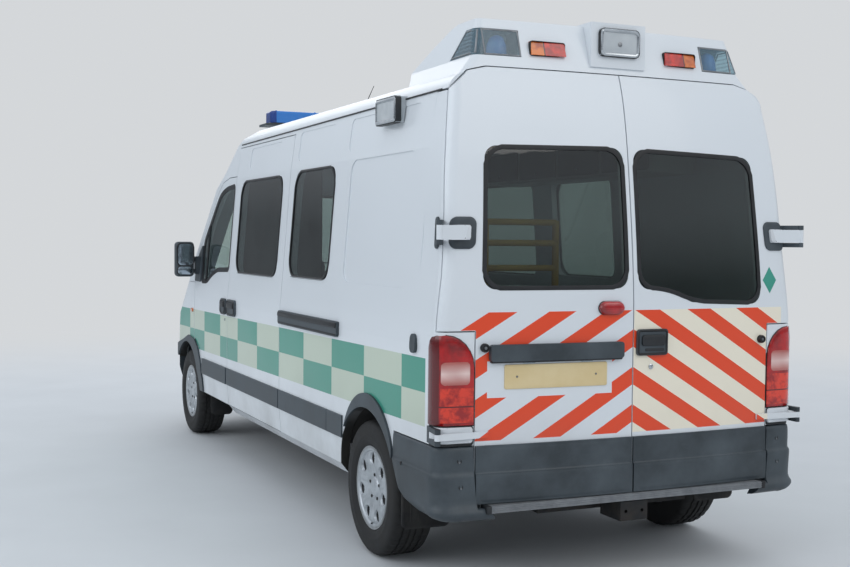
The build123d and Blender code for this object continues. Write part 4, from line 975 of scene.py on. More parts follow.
# Plates of the hinges on the door (1) or the body: name, look, outline, foot, top and edge, rings inside
HINGES = (
    ("upper_hinge_{}_plate", "dark_plastic", 1, (-0.092, 0.034, 1.572, 1.716, 0.03), (0.0, 0.008, 0.004), 6),
    ("upper_hinge_{}_pad", "white_plastic", 1, (-0.062, 0.03, 1.612, 1.678, 0.01), (0.004, 0.022, 0.005), 4),
    ("upper_hinge_{}_side", "dark_plastic", 0, (0.094, 0.134, 1.572, 1.716, 0.016), (0.0, 0.006, 0.003), 2),
    ("lower_hinge_{}_cover", "white_plastic", 0,
     (-0.113, 0.098, 0.707, 0.78, 0.012), (-0.004, 0.011, 0.005), 6),
    # Dark sheet round the lower hinge cover: its gap, with painted shadow beside its side-facing end and below
    # it
    ("lower_hinge_{}_gap", "seal_rubber", 0, (-0.118, 0.119, 0.694, 0.785, 0.012), (-0.006, 0.002, 0.001), 6),
)
TAIL_WINDOW = (-0.096, 0.034, 0.968, 1.07, 0.016, 0.02)
# Height and how far it stands out, from the bumper's top to its foot
BUMPER_SECTION = (
    (0.69, -0.012), (0.69, 0.0), (0.686, 0.004), (0.676, 0.0075), (0.66, 0.009), (0.62, 0.0095),
    (0.585, 0.009), (0.573, 0.0092), (0.568, 0.0135), (0.562, 0.0172), (0.55, 0.019), (0.5, 0.02),
    (0.455, 0.0205), (0.435, 0.0225), (0.418, 0.03), (0.405, 0.04), (0.392, 0.0455), (0.38, 0.045),
    (0.368, 0.037), (0.359, 0.022), (0.356, 0.005), (0.356, -0.012),
)
BUMPER_PLAIN = 0.0205
FOOT_TOP = 0.412
FOOT_INNER = -0.118
# Round the corner: where the lip starts to fade and over what length, where the rest gets thinner
FADE_START, FADE_LENGTH = 0.05, 0.22
THIN_START, THIN_LENGTH, THIN_SHARE = 0.45, 0.076, 0.4
# Lower edge along the side: distance round the corner, height
BUMPER_FOOT = ((-1.0, 0.356), (0.28, 0.356), (0.34, 0.377), (0.451, 0.434), (0.526, 0.56))
BUMPER_STATIONS = [-0.172, -0.166, -0.15, -0.135, -0.1185, -0.1175, -0.112, -0.1, -0.08, -0.06, -0.04, -0.02]
BUMPER_STATIONS += spread(0.0, 0.0889, 6) + spread(0.0889, 0.5259, 22)[1:]
DIMPLE = ((0.011, -0.002), (0.011, 0.0006), (0.0095, 0.0006), (0.001, -0.001))
NOTCH = ((0.0045, 0.018), (0.0045, 0.0228), (0.001, 0.023))


def bumper(around, u, z, proud):
    """Point of the bumper: its foot runs out towards the wheel arch and its lip fades round the corner."""
    z = min(z, FOOT_TOP) if u < FOOT_INNER else z
    z = max(z, read(BUMPER_FOOT, u) + 0.0015 * (proud > -0.01))
    flare = max(0.0, min(1.0, 1 - (u - FADE_START) / FADE_LENGTH))
    flare = flare * flare * (3 - 2 * flare)
    if proud > BUMPER_PLAIN:
        proud = BUMPER_PLAIN + (proud - BUMPER_PLAIN) * flare
    if u > THIN_START:
        proud *= 1 - THIN_SHARE * (u - THIN_START) / THIN_LENGTH
    return over(around, u, z, proud)[0]


for hand, sign in SIDES:
    around, leaf = wrap(sign), f"rear_{hand}_leaf"
    rings = [(0, -0.004), (0, 0.004), (-0.002, 0.0075), (-0.007, 0.009)]
    moulding(f"tail_lamp_{hand}", "tail_lens", LAMP_OUTLINE, around, rings, 8, replaces=("tail_lamps",))
    bead(f"tail_lamp_{hand}_gasket", "seal_rubber", LAMP_OUTLINE, around, -0.001, 0.0035, 0.003, -0.003)
    rings = [(0, 0.007), (0, 0.0098), (-0.004, 0.0105)]
    moulding(f"tail_lamp_{hand}_window", "tail_window", TAIL_WINDOW, around, rings, 6)
    for name, look, on_door, outline, rise, inside in HINGES:
        body = leaf if on_door else "root"
        moulding(name.format(hand), look, (*outline, 0.02), around, raised(*rise), inside, body)
    places = [around(-0.03, z) for z in (1.6185, 1.6715)]
    lathe(f"upper_hinge_{hand}_notches", "seal_rubber", NOTCH, *places, sides=12, body=leaf)
    with Piece(f"rear_bumper_{hand}", "dark_plastic", replaces=("rear_bumper",), crease=50) as p:
        p.skin([[bumper(around, u, *row) for row in BUMPER_SECTION] for u in BUMPER_STATIONS])
    with Piece(f"bumper_{hand}_dimples", "seal_rubber") as p:
        for z, proud in ((0.628, 0.0095), (0.512, 0.0198)):
            p.lathe([(radius, proud + height) for radius, height in DIMPLE], *around(-0.05, z), 20)
        p.lathe([(0.009, 0.012), (0.009, 0.0195), (0.007, 0.02), (0.001, 0.019)], *around(0.4, 0.56), 16)
    places = (-0.05, 0.622, 0.0095), (-0.05, 0.506, 0.0198)
    screws(f"bumper_{hand}_screws", around, places, 0.0055)
    with Piece(f"rear_mudflap_{hand}", "flap_rubber", replaces=("mudflaps",)) as p:
        x0, x1 = span(sign, 0.72, 0.975)
        rings = [(0, 0.0), (0, 0.006), (-0.003, 0.008), (-0.012, 0.008), (-0.015, 0.006)]
        p.moulding(rounded(x0, x1, 0.225, 0.47, 0.03), flat(1, REAR_AXLE + 0.425), rings, 2)
        for x in spread(x0 + 0.045, x1 - 0.045, 4):
            p.tube([(x, REAR_AXLE + 0.432, z) for z in (0.262, 0.43)], 0.003, 6)
    outline = rounded(*span(sign, 0.73, 0.905), 0.2, 0.439, 0.03)
    rings = [(0, 0.0), (0, 0.005), (-0.003, 0.007)]
    moulding(f"front_mudflap_{hand}", "flap_rubber", outline, flat(1, FRONT_AXLE + 0.428), rings, 2)

# Softened edges on mouldings of the CAD part that catch the light
SOFTENED = by_name({
    0.0045: "rear_left_trim rear_right_trim",
    0.003: "side_trim marker_lamps",
    0.004: "rear_step wheel_arch_flares front_bumper front_left_trim front_right_trim",
})
for name, width in SOFTENED.items():
    edges = nodes[name].modifiers.new("soft_edges", "BEVEL")
    edges.width = width
    edges.segments = 3
    edges.limit_method = "ANGLE"
    edges.angle_limit = math.radians(50)
    edges.harden_normals = True


# Wheels: tyres with grooved tread, slotted hub caps, bolts
# Half of the tyre's section: distance across, radius
TREAD = (
    (-0.098, 0.214), (-0.104, 0.222), (-0.109, 0.236), (-0.1125, 0.257), (-0.1135, 0.262), (-0.1125, 0.268),
    (-0.112, 0.292), (-0.1105, 0.312), (-0.1075, 0.322), (-0.101, 0.331), (-0.092, 0.3385), (-0.082, 0.3425),
    (-0.06, 0.344), (-0.057, 0.337), (-0.05, 0.337), (-0.047, 0.3445), (-0.022, 0.345), (-0.019, 0.337),
    (-0.012, 0.337), (-0.009, 0.345),
)
TREAD_STEPS = 120
SIPE_EVERY = 3
SIPE_DEPTH = 0.006
TREAD_EDGE = 0.336
# Radius and height of the cap's face; the slots and ribs are added to it
CAP_PROFILE = (
    (0.203, 0.094), (0.2025, 0.0985), (0.197, 0.1005), (0.19, 0.099), (0.186, 0.094), (0.183, 0.092),
    (0.178, 0.0945), (0.174, 0.0958), (0.17, 0.0965), (0.165, 0.0972), (0.16, 0.0976), (0.155, 0.098),
    (0.15, 0.098), (0.145, 0.0979), (0.14, 0.0975), (0.135, 0.0969), (0.13, 0.0962), (0.125, 0.0952),
    (0.118, 0.0936), (0.11, 0.0915), (0.102, 0.0895), (0.092, 0.087), (0.082, 0.0845), (0.074, 0.083),
    (0.066, 0.082), (0.058, 0.0815), (0.053, 0.079), (0.05, 0.0815), (0.046, 0.0855), (0.038, 0.0875),
    (0.024, 0.0885), (0.01, 0.089), (0.001, 0.089),
)
CAP_STEPS = 168
CAP_SLOTS = 7
SLOT_R, SLOT_HALF, SLOT_DEPTH, SLOT_WALL = 0.151, 0.03, 0.026, 0.22
RIB_R, RIB_HALF, RIB_HEIGHT = 0.125, 0.045, 0.0035
BOLT = ((0.009, -0.004), (0.009, 0.001), (0.007, 0.003), (0.001, 0.003))
VALVE = ((0.004, -0.02), (0.004, 0.01), (0.003, 0.014), (0.001, 0.014))
WHEEL_X = 0.862
WHEELS = [(f"front_{hand}", sign, FRONT_AXLE) for hand, sign in SIDES]
WHEELS += [(f"rear_{hand}", sign, REAR_AXLE) for hand, sign in SIDES]


def turned(y, x, radius, angle):
    """Point at x whose radius stands at an angle round the axle at y."""
    return Vector((x, y + radius * math.sin(angle), TYRE_R - radius * math.cos(angle)))


def soft_step(value, edge, width):
    return max(0.0, min(1.0, 0.5 + (edge - abs(value)) / width))


def tread(k, across, radius):
    """Radius of the tread at a step round the tyre: its blocks are cut by sipes."""
    cut = radius > TREAD_EDGE and (k + (across > 0)) % SIPE_EVERY == 0 and abs(across) > 0.02
    return radius - SIPE_DEPTH * cut


def cap(radius, height, angle):
    """Height of the hub cap's face with its slots and the ribs between them."""
    part = (angle * CAP_SLOTS / (2 * math.pi)) % 1 - 0.5
    arc = part * 2 * math.pi * radius / CAP_SLOTS
    slot = (1 - math.hypot(arc / SLOT_HALF, (radius - SLOT_R) / SLOT_HALF)) / SLOT_WALL
    rib = RIB_HEIGHT * soft_step(abs(part) - 0.5, 0.1, 0.06) * soft_step(radius - RIB_R, RIB_HALF, 0.02)
    return height - SLOT_DEPTH * max(0.0, min(1.0, slot)) + rib


for name, sign, y in WHEELS:
    body, x = f"{name}_wheel", sign * WHEEL_X
    with Piece(f"{name}_tyre_tread", "tyre_rubber", body, replaces=(f"{name}_tyre",), crease=30) as p:
        profile = TREAD + tuple((-a, r) for a, r in reversed(TREAD))
        turns = [(k, 2 * math.pi * k / TREAD_STEPS) for k in range(TREAD_STEPS)]
        p.skin([[turned(y, x + a, tread(k, a, r), t) for a, r in profile] for k, t in turns], closed=True)
    with Piece(f"{name}_hub_cap", "hubcap_silver", body, crease=40) as p:
        turns = [2 * math.pi * k / CAP_STEPS for k in range(CAP_STEPS)]
        rings = [[turned(y, x + sign * 0.07, 0.203, t) for t in turns]]
        p.skin(rings + [[turned(y, x + sign * cap(r, h, t), r, t) for t in turns] for r, h in CAP_PROFILE])
    turns = [2 * math.pi * (k + 0.5) / 5 for k in range(5)]
    places = [(turned(y, x + sign * 0.083, 0.064, t), (sign, 0, 0)) for t in turns]
    lathe(f"{name}_wheel_bolts", "chassis_steel", BOLT, *places, sides=6, body=body)
    hub = (x + sign * 0.088, y, TYRE_R - 0.186), (sign, 0, 0.2)
    lathe(f"{name}_valve", "seal_rubber", VALVE, hub, sides=8, body=body)
    with Piece(f"{name}_slot_shade", "chassis_steel", body) as p:
        shade = [(0.175, 0.064), (0.175, 0.066), (0.13, 0.0665), (0.12, 0.064)]
        p.lathe(shade, (x, y, TYRE_R), (sign, 0, 0), 48, closed=True)


# Front end: windscreen rubber, wipers, lamps, grille, bumper
screen = Cast(1, -1, "windscreen", "cab_shell")
outline = dense(soft_corners([(-0.775, 1.3), (0.775, 1.3), (0.735, 1.968), (-0.735, 1.968)], 0.1, 6))
bead("windscreen_rubber", "seal_rubber", outline, screen, -0.018, 0.01, 0.006, -0.006)
for name, foot_x in (("wiper_right", -0.62), ("wiper_left", -0.02)):
    with Piece(name, "black_rail") as p:
        foot, normal = screen(foot_x, 1.318)
        p.lathe([(0.018, -0.01), (0.018, 0.012), (0.012, 0.02), (0.001, 0.021)], foot, normal, 16)
        blade = [over(screen, foot_x + 0.04 + 0.56 * t, 1.352 + 0.07 * t, 0.01)[0] for t in spread(0, 1, 10)]
        p.tube(blade, 0.0055, 6)
        middle = blade[5] + normal * 0.014
        p.tube([foot + normal * 0.014, foot.lerp(middle, 0.4) + normal * 0.02, middle], [0.009, 0.007, 0.005])

lamp_face = Cast(1, -1, "headlamps")
REFLECTORS = ((0.655, 0.872, 0.058), (0.78, 0.876, 0.055))
BOWL = ((1, -0.01), (1, -0.012), (0.8, -0.026), (0.45, -0.036))
LAMP_BULB = ((0.01, -0.04), (0.012, -0.03), (0.01, -0.02), (0.001, -0.017))
INDICATOR = (0.012, 0.026, 0.03, 0.031, 0.03, 0.026, 0.012)
FOG_RIM = ((0.046, 0.0), (0.05, 0.006), (0.056, 0.006), (0.058, -0.004), (0.046, -0.01))
FOG_BOWL = ((0.044, -0.006), (0.044, -0.008), (0.03, -0.024), (0.001, -0.03))
for hand, sign in SIDES:
    with Piece(f"headlamp_{hand}_bowls", "chrome") as p:
        for x, z, size in REFLECTORS:
            bowl = [(share * size, height) for share, height in BOWL] + [(0.012, -0.04), (0.001, -0.04)]
            p.lathe(bowl, *lamp_face(sign * x, z), 28)
    places = [lamp_face(sign * x, z) for x, z, size in REFLECTORS]
    lathe(f"headlamp_{hand}_bulbs", "clear_lamp", LAMP_BULB, *places, sides=12)
    run = [over(lamp_face, sign * x, 0.88, -0.018)[0] for x in spread(0.875, 0.947, 6)]
    bars(f"headlamp_{hand}_indicator", "amber_lens", [run], INDICATOR, 12)
    fog = lamp_face(sign * 0.64, 0.47)
    with Piece(f"fog_lamp_{hand}_rim", "black_rail") as p:
        p.lathe(FOG_RIM, *fog, 28, closed=True)
    lathe(f"fog_lamp_{hand}_bowl", "chrome", FOG_BOWL, fog)

face = Cast(1, -1, "grille", "bonnet", "front_bumper", "headlamps", "front_wings")
outline = -0.452, 0.452, 0.778, 0.93, 0.03, 0.05
bead("grille_surround", "chrome", outline, face, -0.002, 0.01, 0.006, -0.004)
outline = rounded(-0.055, 0.055, 0.795, 0.915, 0.045, 8)
moulding("grille_middle", "black_rail", outline, face, raised(-0.004, 0.012, 0.005), 3)
moulding("front_plate", "plate_white", (-0.26, 0.26, 0.56, 0.671, 0.008), face, raised(-0.003, 0.007), 4)
screws("front_plate_screws", face, [(x, 0.616, 0.007) for x in (-0.2, 0.2)], 0.005)
outline = -0.9, 0.9, 0.69, 0.712, 0.008, 0.05
moulding("bumper_band", "black_rail", outline, face, raised(-0.002, 0.006, 0.002), 3)
jet = ((0.011, -0.003), (0.011, 0.004), (0.007, 0.009), (0.001, 0.01))
places = [Cast(2, 1, "bonnet")(x, -2.44) for x in (-0.32, 0.32)]
lathe("washer_jets", "black_rail", jet, *places, sides=12, body="bonnet_lid")
LINER_OUT, LINER_IN = 0.409, 0.405
LINER_X0, LINER_X1 = 0.585, 0.9
# Degrees over the axle's height, ahead of it first
LINER_START, LINER_SWEEP, LINER_STEPS = -12, 204, 36
for hand, sign in SIDES:
    with Piece(f"front_liner_{hand}", "underbody_paint") as p:
        rings = []
        for k in range(LINER_STEPS + 1):
            turn = math.radians(LINER_START + LINER_SWEEP * k / LINER_STEPS)
            y, z = math.cos(turn), math.sin(turn)
            low = LINER_IN - 0.004 * (k % 4 == 0)
            section = (LINER_X0, LINER_OUT), (LINER_X1, LINER_OUT), (LINER_X1, low), (LINER_X0, low)
            rings.append([Vector((sign * x, FRONT_AXLE - y * r, TYRE_R + z * r)) for x, r in section])
        p.skin(rings)
    outline = rounded(-1.955, -1.885, 1.01, 1.04, 0.012)
    wing = Cast(0, sign, "front_wings")
    moulding(f"side_repeater_{hand}", "amber_lens", outline, wing, raised(-0.001, 0.009, 0.004), 2)


# Cladding of the rear doors: height and how far it stands out, and its columns
CLADDING_SECTION = (
    (0.6925, -0.004), (0.6925, 0.002), (0.69, 0.0065), (0.683, 0.0095), (0.67, 0.0112), (0.64, 0.0115),
    (0.59, 0.0112), (0.577, 0.0108), (0.5705, 0.012), (0.567, 0.016), (0.56, 0.0185), (0.545, 0.0195),
    (0.5, 0.0197), (0.455, 0.0195), (0.441, 0.018), (0.4345, 0.014), (0.433, -0.004),
)
CLADDING_ENDS = (0.0045, 0.8105)
for hand, sign in SIDES:
    with Piece(f"rear_{hand}_cladding", "dark_plastic", f"rear_{hand}_leaf", crease=50) as p:
        rings = []
        for x in spread(*CLADDING_ENDS, 24):
            rounding = 0.8 if x in CLADDING_ENDS else 1.0
            rings.append([over(rear, sign * x, z, min(h, h * rounding))[0] for z, h in CLADDING_SECTION])
        p.skin(rings)


# Cab: seats, dashboard, cowl
def cushion(name, look, outline, at, thick, crown, soft=0.022, fill=0.8, replaced=()):
    """Crowned pad with drawn-in sides and a welt along its upper edge."""
    rings = [(-1.2 * soft, 0.0), (-0.3 * soft, 0.3 * soft), (0.15 * soft, 0.35 * thick), (0, 0.6 * thick)]
    rings += [(-0.02 * soft, thick - soft), (-0.35 * soft, thick - 0.35 * soft), (-1.0 * soft, thick)]
    with Piece(name, look, padded=fill, crease=60, replaces=replaced) as p:
        p.moulding(outline, at, rings, 10, crown)
    with Piece(f"{name}_welt", "seal_rubber" if look == "seat_vinyl" else look) as p:
        edge = grown(anticlockwise(oblong(outline)), -0.1 * soft)
        p.tube([over(at, *q, thick - 0.55 * soft)[0] for q in edge], 0.0035, 6, closed=True)


def strip(name, look, feet, section):
    """Band with a section that is carried along points."""
    with Piece(name, look) as p:
        p.skin([[Vector(foot) + Vector(q) for q in section] for foot in feet])


BELT = ((-0.023, 0, 0), (0.023, 0, 0), (0.023, 0.0016, 0), (-0.023, 0.0016, 0))
SEAT_FRONT, SEAT_REAR = -1.5, -0.925
for seat, x0, x1 in (("driver", -0.73, -0.25), ("passenger", 0.25, 0.73)):
    name, middle, width = f"{seat}_seat", (x0 + x1) / 2, x1 - x0
    base = tilted((x0, SEAT_FRONT, 0.735), (1, 0, 0), (0, 1, -0.05))
    outline = 0.0, width, 0.0, 0.52, 0.07, 0.05
    cushion(f"{name}_cushion", "seat_fabric", outline, base, 0.12, 0.022, replaced=("cab_seats",))
    back = tilted((x1, SEAT_REAR, 0.85), (-1, 0, 0), (0, 0.1, 1))
    cushion(f"{name}_back", "seat_fabric", (0.0, width, 0.0, 0.64, 0.08, 0.05), back, 0.085, 0.018)
    head = tilted((middle + 0.13, -0.865, 1.535), (-1, 0, 0), (0, 0.08, 1))
    cushion(f"{seat}_headrest", "seat_fabric", (0.0, 0.26, 0.0, 0.17, 0.06, 0.03), head, 0.075, 0.015, 0.02)
    with Piece(f"{name}_shell", "cabin_plastic") as p:
        rear_face = tilted((x0, SEAT_REAR, 0.85), (1, 0, 0), (0, 0.1, 1))
        p.moulding((0.012, width - 0.012, 0.01, 0.62, 0.07), rear_face, raised(0.0, 0.03, 0.012), 3)
        p.block((x0 + 0.06, -1.42, 0.47), (x1 - 0.06, -1.0, 0.7), 0.012)
        p.block((x0 + 0.02, -1.48, 0.7), (x1 - 0.02, -0.97, 0.738), 0.01)
    runs = [[(x, -0.872, 1.47), (x, -0.866, 1.56)] for x in (middle - 0.06, middle + 0.06)]
    bars(f"{seat}_headrest_posts", "chrome", runs, 0.006, 10)
    door_side = x0 + 0.04 if x0 < 0 else x1 - 0.04
    feet = [(door_side, -0.885 + 0.02 * t, 0.62 + 1.02 * t) for t in spread(0, 1, 8)]
    strip(f"{name}_belt", "strap", feet, BELT)
    seam = [(0.05 + 0.42 * t, 0.1212 + 0.015 * (1 - (2 * t - 1) ** 2)) for t in spread(0, 1, 10)]
    runs = [[over(base, width * share, *q)[0] for q in seam] for share in (0.27, 0.73)]
    bars(f"{name}_seams", "seal_rubber", runs, 0.0022, 5)
cowl = tilted((0, -1.965, 1.185), (1, 0, 0), (0, -0.25, 1))
HOOD = ((-0.65, 0.0), (-0.29, 0.0), (-0.3, 0.06), (-0.34, 0.09), (-0.6, 0.09), (-0.64, 0.06))
with Piece("dashboard_cowl", "cabin_plastic") as p:
    p.moulding(dense(soft_corners(HOOD, 0.03), 0.04), cowl, [(0, -0.16), (0, -0.01), (-0.006, 0.0)], 2)
    p.block((-0.05, -1.905, 1.05), (0.21, -1.735, 1.13), 0.012)
with Piece("dashboard_dials", "black_rail") as p:
    for x, r in ((-0.525, 0.04), (-0.415, 0.04), (-0.47, 0.018)):
        dial = [(r, -0.002), (r, 0.003), (r - 0.004, 0.004), (r - 0.006, 0.001), (0.001, 0.001)]
        p.lathe(dial, *cowl(x, 0.045))
runs = [
    [(x + half, -1.752 - 0.4 * (z - 1.12), z) for half in (-0.045, 0.045)]
    for x in (-0.78, -0.08, 0.1, 0.76) for z in spread(1.128, 1.17, 3)
]
bars("dashboard_vents", "black_rail", runs, 0.0035, 6)
with Piece("gear_lever", "black_rail") as p:
    p.tube([(0.08, -1.76, 1.0), (0.08, -1.7, 1.08), (0.08, -1.675, 1.115)], [0.01, 0.007, 0.006], 10)
    knob = [(0.008, -0.02), (0.02, 0.0), (0.024, 0.016), (0.018, 0.032), (0.001, 0.038)]
    p.lathe(knob, (0.08, -1.672, 1.118), (0, 0.4, 1), 16)

# Load space: floor sheet, wall cupboards, ceiling lamp, rails, stretcher, ramp
with Piece("floor_sheet", "floor_sheet") as p:
    p.block((-0.585, -0.66, 0.5602), (0.585, REAR_AXLE + 0.78, 0.5632), 0.001)
outline = rounded(-0.09, 0.09, -0.3, 1.3, 0.03)
moulding("ceiling_lamp", "white_plastic", outline, flat(2, 2.235, -1), raised(0, 0.03, 0.01), 2)
rail = ((-0.3, 2.235), (-0.3, 2.17), (-0.25, 2.155), (2.25, 2.155), (2.3, 2.17), (2.3, 2.235))
bars("grab_rail", "ramp_yellow", [[(0.0, *q) for q in rail]], 0.015, 10)
with Piece("wall_cupboards", "lining") as p:
    p.block((-0.82, 0.3, 1.05), (-0.56, 2.3, 1.3), 0.012)
    p.block((-0.8, 0.3, 1.98), (-0.52, 2.3, 2.2), 0.012)
# Faces of the cupboards: place, foot and top of their doors, height of the catches
CUPBOARDS = ((-0.52, 2.0, 2.18, 2.03), (-0.56, 1.07, 1.28, 1.24))
CUPBOARD_STARTS = spread(0.33, 1.8, 3)
CATCH = ((0.012, 0.006), (0.012, 0.016), (0.009, 0.02), (0.001, 0.02))
with Piece("cupboard_doors", "cabin_plastic") as p:
    for y in CUPBOARD_STARTS:
        for x, low, high, catch in CUPBOARDS:
            p.moulding(rounded(y, y + 0.46, low, high, 0.015), flat(0, x), raised(-0.002, 0.008, 0.003), 2)
places = [((x, y + 0.23, catch), (1, 0, 0)) for y in CUPBOARD_STARTS for x, low, high, catch in CUPBOARDS]
lathe("cupboard_catches", "chrome", CATCH, *places, sides=14)

(bed_x0, bed_x1), (bed_y0, bed_y1) = (-0.38, 0.18), (0.3, 2.25)
MATTRESS = ((0.3, 0.9), (0.906, 1.5), (1.506, 2.25))
for k, ys in enumerate(MATTRESS):
    name, outline = f"mattress_section_{k + 1}", (bed_x0, bed_x1, *ys, 0.055, 0.04)
    cushion(name, "seat_vinyl", outline, flat(2, 0.884), 0.062, 0.012, 0.018, 0.9, ("stretcher",))
outline = bed_x0 + 0.08, bed_x1 - 0.08, 0.33, 0.64, 0.07, 0.03
cushion("pillow", "pillow", outline, flat(2, 0.955), 0.05, 0.045, 0.024, 0.7)
RAIL_Z, LEG_Z = 0.866, 0.61
RAIL_XS, LEG_XS = (bed_x0 - 0.006, bed_x1 + 0.006), (-0.285, 0.085)
with Piece("stretcher_frame", "step_aluminium") as p:
    for x in RAIL_XS:
        p.tube([(x, bed_y0 + 0.02, RAIL_Z), (x, bed_y1 - 0.02, RAIL_Z)], 0.016, 12)
    for y in (bed_y0 + 0.02, 0.903, 1.503, bed_y1 - 0.02):
        p.tube([(x, y, RAIL_Z) for x in RAIL_XS], 0.014, 12)
    for x in LEG_XS:
        p.tube([(x, 0.5, LEG_Z), (x, 2.1, LEG_Z)], 0.014, 12)
        for foot, top in ((0.56, 1.18), (1.18, 0.56), (1.42, 2.04), (2.04, 1.42)):
            p.tube([(x, foot, LEG_Z), (x, top, 0.852)], 0.012, 12)
    ends, top = (bed_x0 + 0.04, bed_x1 - 0.04), (bed_x0 + 0.05, bed_x1 - 0.05)
    bow = [(ends[0], bed_y1, RAIL_Z), *((x, bed_y1 + 0.12, 0.9) for x in top), (ends[1], bed_y1, RAIL_Z)]
    p.tube(bow, 0.012, 10)
castor = ((0.02, -0.012), (0.0255, -0.01), (0.0265, 0.0), (0.0255, 0.01), (0.02, 0.012))
places = [((x, y, 0.5895), (1, 0, 0)) for x in LEG_XS for y in (0.54, 2.06)]
lathe("stretcher_wheels", "tyre_rubber", castor, *places)
rail = ((0.95, RAIL_Z), (0.95, 1.0), (1.0, 1.04), (1.6, 1.04), (1.65, 1.0), (1.65, RAIL_Z))
with Piece("stretcher_side_rails", "step_aluminium") as p:
    for x in (bed_x0 - 0.03, bed_x1 + 0.03):
        p.tube([(x, *q) for q in rail], 0.009, 10)
        p.tube([(x, 0.95, 0.95), (x, 1.65, 0.95)], 0.006)
STRAP = ((0, -0.025, 0), (0, 0.025, 0), (0, 0.025, 0.003), (0, -0.025, 0.003))
for k, y in enumerate((1.12, 1.85)):
    arch = [(t, 0.88 + 0.0885 * (1 - (2 * t - 1) ** 8) ** 0.5) for t in spread(0, 1, 20)]
    feet = [(bed_x0 - 0.018 + (bed_x1 - bed_x0 + 0.036) * t, y, z) for t, z in arch]
    strip(f"stretcher_strap_{k + 1}", "strap", feet, STRAP)
    with Piece(f"stretcher_buckle_{k + 1}", "chrome") as p:
        p.block((-0.135, y - 0.03, 0.97), (-0.065, y + 0.03, 0.982), 0.003)

RAMP_X0, RAMP_X1, RAMP_Y, RAMP_Z0, RAMP_Z1 = 0.22, 0.64, REAR_AXLE + 0.56, 0.562, 1.72
with Piece("ramp_frame", "ramp_yellow", replaces=("loading_ramp",)) as p:
    xs = RAMP_X0 + 0.018, RAMP_X1 - 0.018
    for x in xs:
        p.tube([(x, RAMP_Y + 0.02, z) for z in (RAMP_Z0 + 0.004, RAMP_Z1 - 0.01)], 0.018, 12)
    for z in (0.6, 0.79, 0.98, 1.17, 1.36, 1.48, 1.6, 1.7):
        p.tube([(x, RAMP_Y + 0.02, z) for x in xs], 0.0155, 10)
xs, zs = spread(RAMP_X0 + 0.075, RAMP_X1 - 0.075, 6), (RAMP_Z0 + 0.02, 1.3)
bars("ramp_tread", "step_aluminium", [[(x, RAMP_Y + 0.01, z) for z in zs] for x in xs], 0.005, 6)
outline = -0.32, 0.32, 0.57, 2.24, 0.02, 0.2
bead("partition_trim", "seal_rubber", outline, flat(1, -0.697), -0.012, 0.004, 0.01, -0.014)

# Inner faces of the doors: lining panels and pulls
LINING_IN = -0.058
for hand, sign in SIDES:
    door, leaf = f"rear_{hand}", f"rear_{hand}_leaf"
    rings = [(0, LINING_IN + 0.006), (0, LINING_IN), (-0.008, LINING_IN - 0.004)]
    moulding(f"{door}_lining", "lining", (*span(sign, 0.06, 0.745), 0.52, 1.18, 0.05), rear, rings, 5, leaf)
    pull = ((0.1, 0.0), (0.11, 0.035), (0.24, 0.04), (0.25, 0.0))
    run = [over(rear, sign * x, 1.1, LINING_IN - out)[0] for x, out in pull]
    bars(f"{door}_inner_pull", "black_rail", [run], 0.009, body=leaf)


# Floor, light and camera
SKY = (0.82, 0.88, 0.96, 1)
SKY_STRENGTH = 0.8
# Reflections: heights between which the sky brightens, and its strengths there
GLOSSY_SKY = (0.06, 0.2, 0.2, 0.78)
BACKDROP = (0.66, 0.68, 0.7, 1)
FADE_FROM = 5.0
FADE_TO = 13.0


def stage():
    """Pale floor that keeps the shadow near the vehicle and runs out into the backdrop's colour."""
    bpy.ops.mesh.primitive_plane_add(size=400, location=(0, 0, 0))
    floor = bpy.context.object
    floor.name = "floor"
    s = Shader("floor")
    tone = s.mix(s.ramp(s.noise(1.5, 3), 0.3, 0.7), "d1d4d6", "d5d8da")
    grain = s.bump(s.noise(60, 3), 0.1)
    near = s.node("BsdfPrincipled", {"Base Color": tone, "Roughness": 0.85, "Normal": grain})
    far = s.node("Emission", {"Color": BACKDROP, "Strength": 1.0})
    away = s.node("VectorMath", {0: s.place}, "Value", operation="LENGTH")
    fade = s.node("MapRange", {0: away, 1: FADE_FROM, 2: FADE_TO}, interpolation_type="SMOOTHSTEP")
    seen = s.both(fade, s.node("LightPath", output="Is Camera Ray"))
    floor.data.materials.append(s.finish(s.blend(seen, near, far)))
    floor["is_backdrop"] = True


# Name, place, target, size, power, colour
LIGHTS = (
    ("key", (-4.0, 12.0, 9.0), (0, 1.5, 1.2), (9, 7), 270, (1.0, 0.97, 0.93)),
    ("fill", (11.0, 3.0, 7.0), (0, 0, 1.0), (10, 7), 330, (0.92, 0.96, 1.0)),
    ("front", (-4.0, -13.0, 10.0), (0, 0, 1.0), (16, 10), 520, (1.0, 1.0, 1.0)),
)


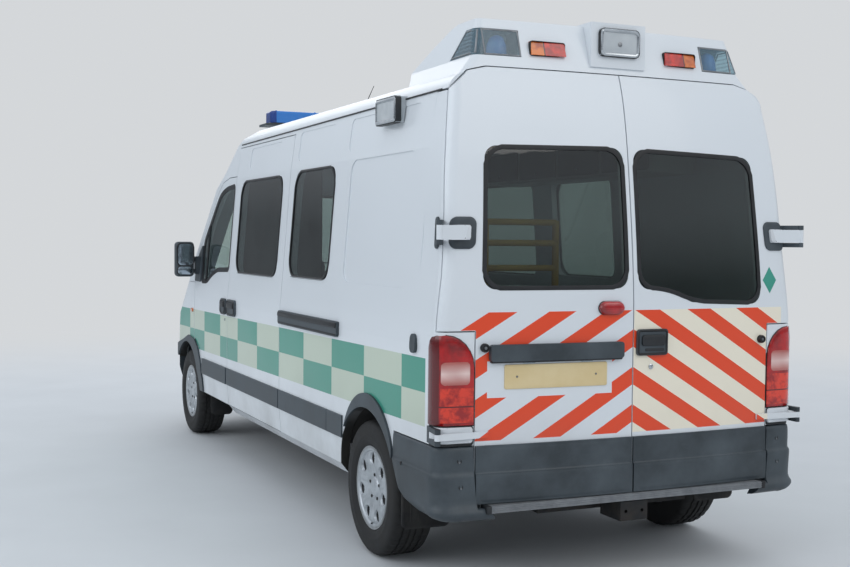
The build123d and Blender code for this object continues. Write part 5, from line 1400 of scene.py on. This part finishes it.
def light(name, place, target, size, power, colour):
    data = bpy.data.lights.new(name, "AREA")
    data.shape = "RECTANGLE"
    data.size, data.size_y = size
    data.energy = power
    data.color = colour
    lamp = bpy.data.objects.new(name, data)
    scene.collection.objects.link(lamp)
    lamp.location = place
    lamp.rotation_euler = (Vector(target) - Vector(place)).to_track_quat("-Z", "Y").to_euler()


def world():
    """Plain sky that lights the scene; reflections see it dimmer near the horizon, the camera a backdrop."""
    s = Shader("studio", "worlds")
    height = s.ramp(s.split(s.node("TexCoord", output="Generated"))[2], *GLOSSY_SKY)
    plain = s.node("Background", {"Color": SKY, "Strength": SKY_STRENGTH})
    graded = s.node("Background", {"Color": SKY, "Strength": height})
    shown = s.node("Background", {"Color": BACKDROP, "Strength": 1.0})
    lit = s.blend(s.node("LightPath", output="Is Glossy Ray"), plain, graded)
    seen = s.blend(s.node("LightPath", output="Is Camera Ray"), lit, shown)
    scene.world = s.finish(seen, "OutputWorld")


CAMERA_PLACE = Vector((3.147, 7.5698, 1.6148))
CAMERA_YAW = -0.4183
CAMERA_PITCH = -0.0377
CAMERA_ROLL = 0.0092
FOCAL_PIXELS = 1178.36
PHOTO_WIDTH = 850
SENSOR = 36.0


def camera():
    data = bpy.data.cameras.new("camera")
    data.sensor_width = SENSOR
    data.lens = FOCAL_PIXELS * SENSOR / PHOTO_WIDTH
    data.clip_end = 500
    view = bpy.data.objects.new("camera", data)
    scene.collection.objects.link(view)
    level = math.cos(CAMERA_PITCH)
    ahead = Vector((math.sin(CAMERA_YAW) * level, -math.cos(CAMERA_YAW) * level, math.sin(CAMERA_PITCH)))
    right = ahead.cross(Vector((0, 0, 1))).normalized()
    up = right.cross(ahead).normalized()
    turned = math.cos(CAMERA_ROLL) * right + math.sin(CAMERA_ROLL) * up
    upright = math.cos(CAMERA_ROLL) * up - math.sin(CAMERA_ROLL) * right
    turn = Matrix((turned, upright, -ahead)).transposed().to_4x4()
    view.matrix_world = Matrix.Translation(CAMERA_PLACE) @ turn
    scene.camera = view


stage()
world()
for row in LIGHTS:
    light(*row)
camera()
scene.view_settings.view_transform = "Standard"

size = {"cad": [list(v) for v in cad_box], "visual": [list(v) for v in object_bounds()]}
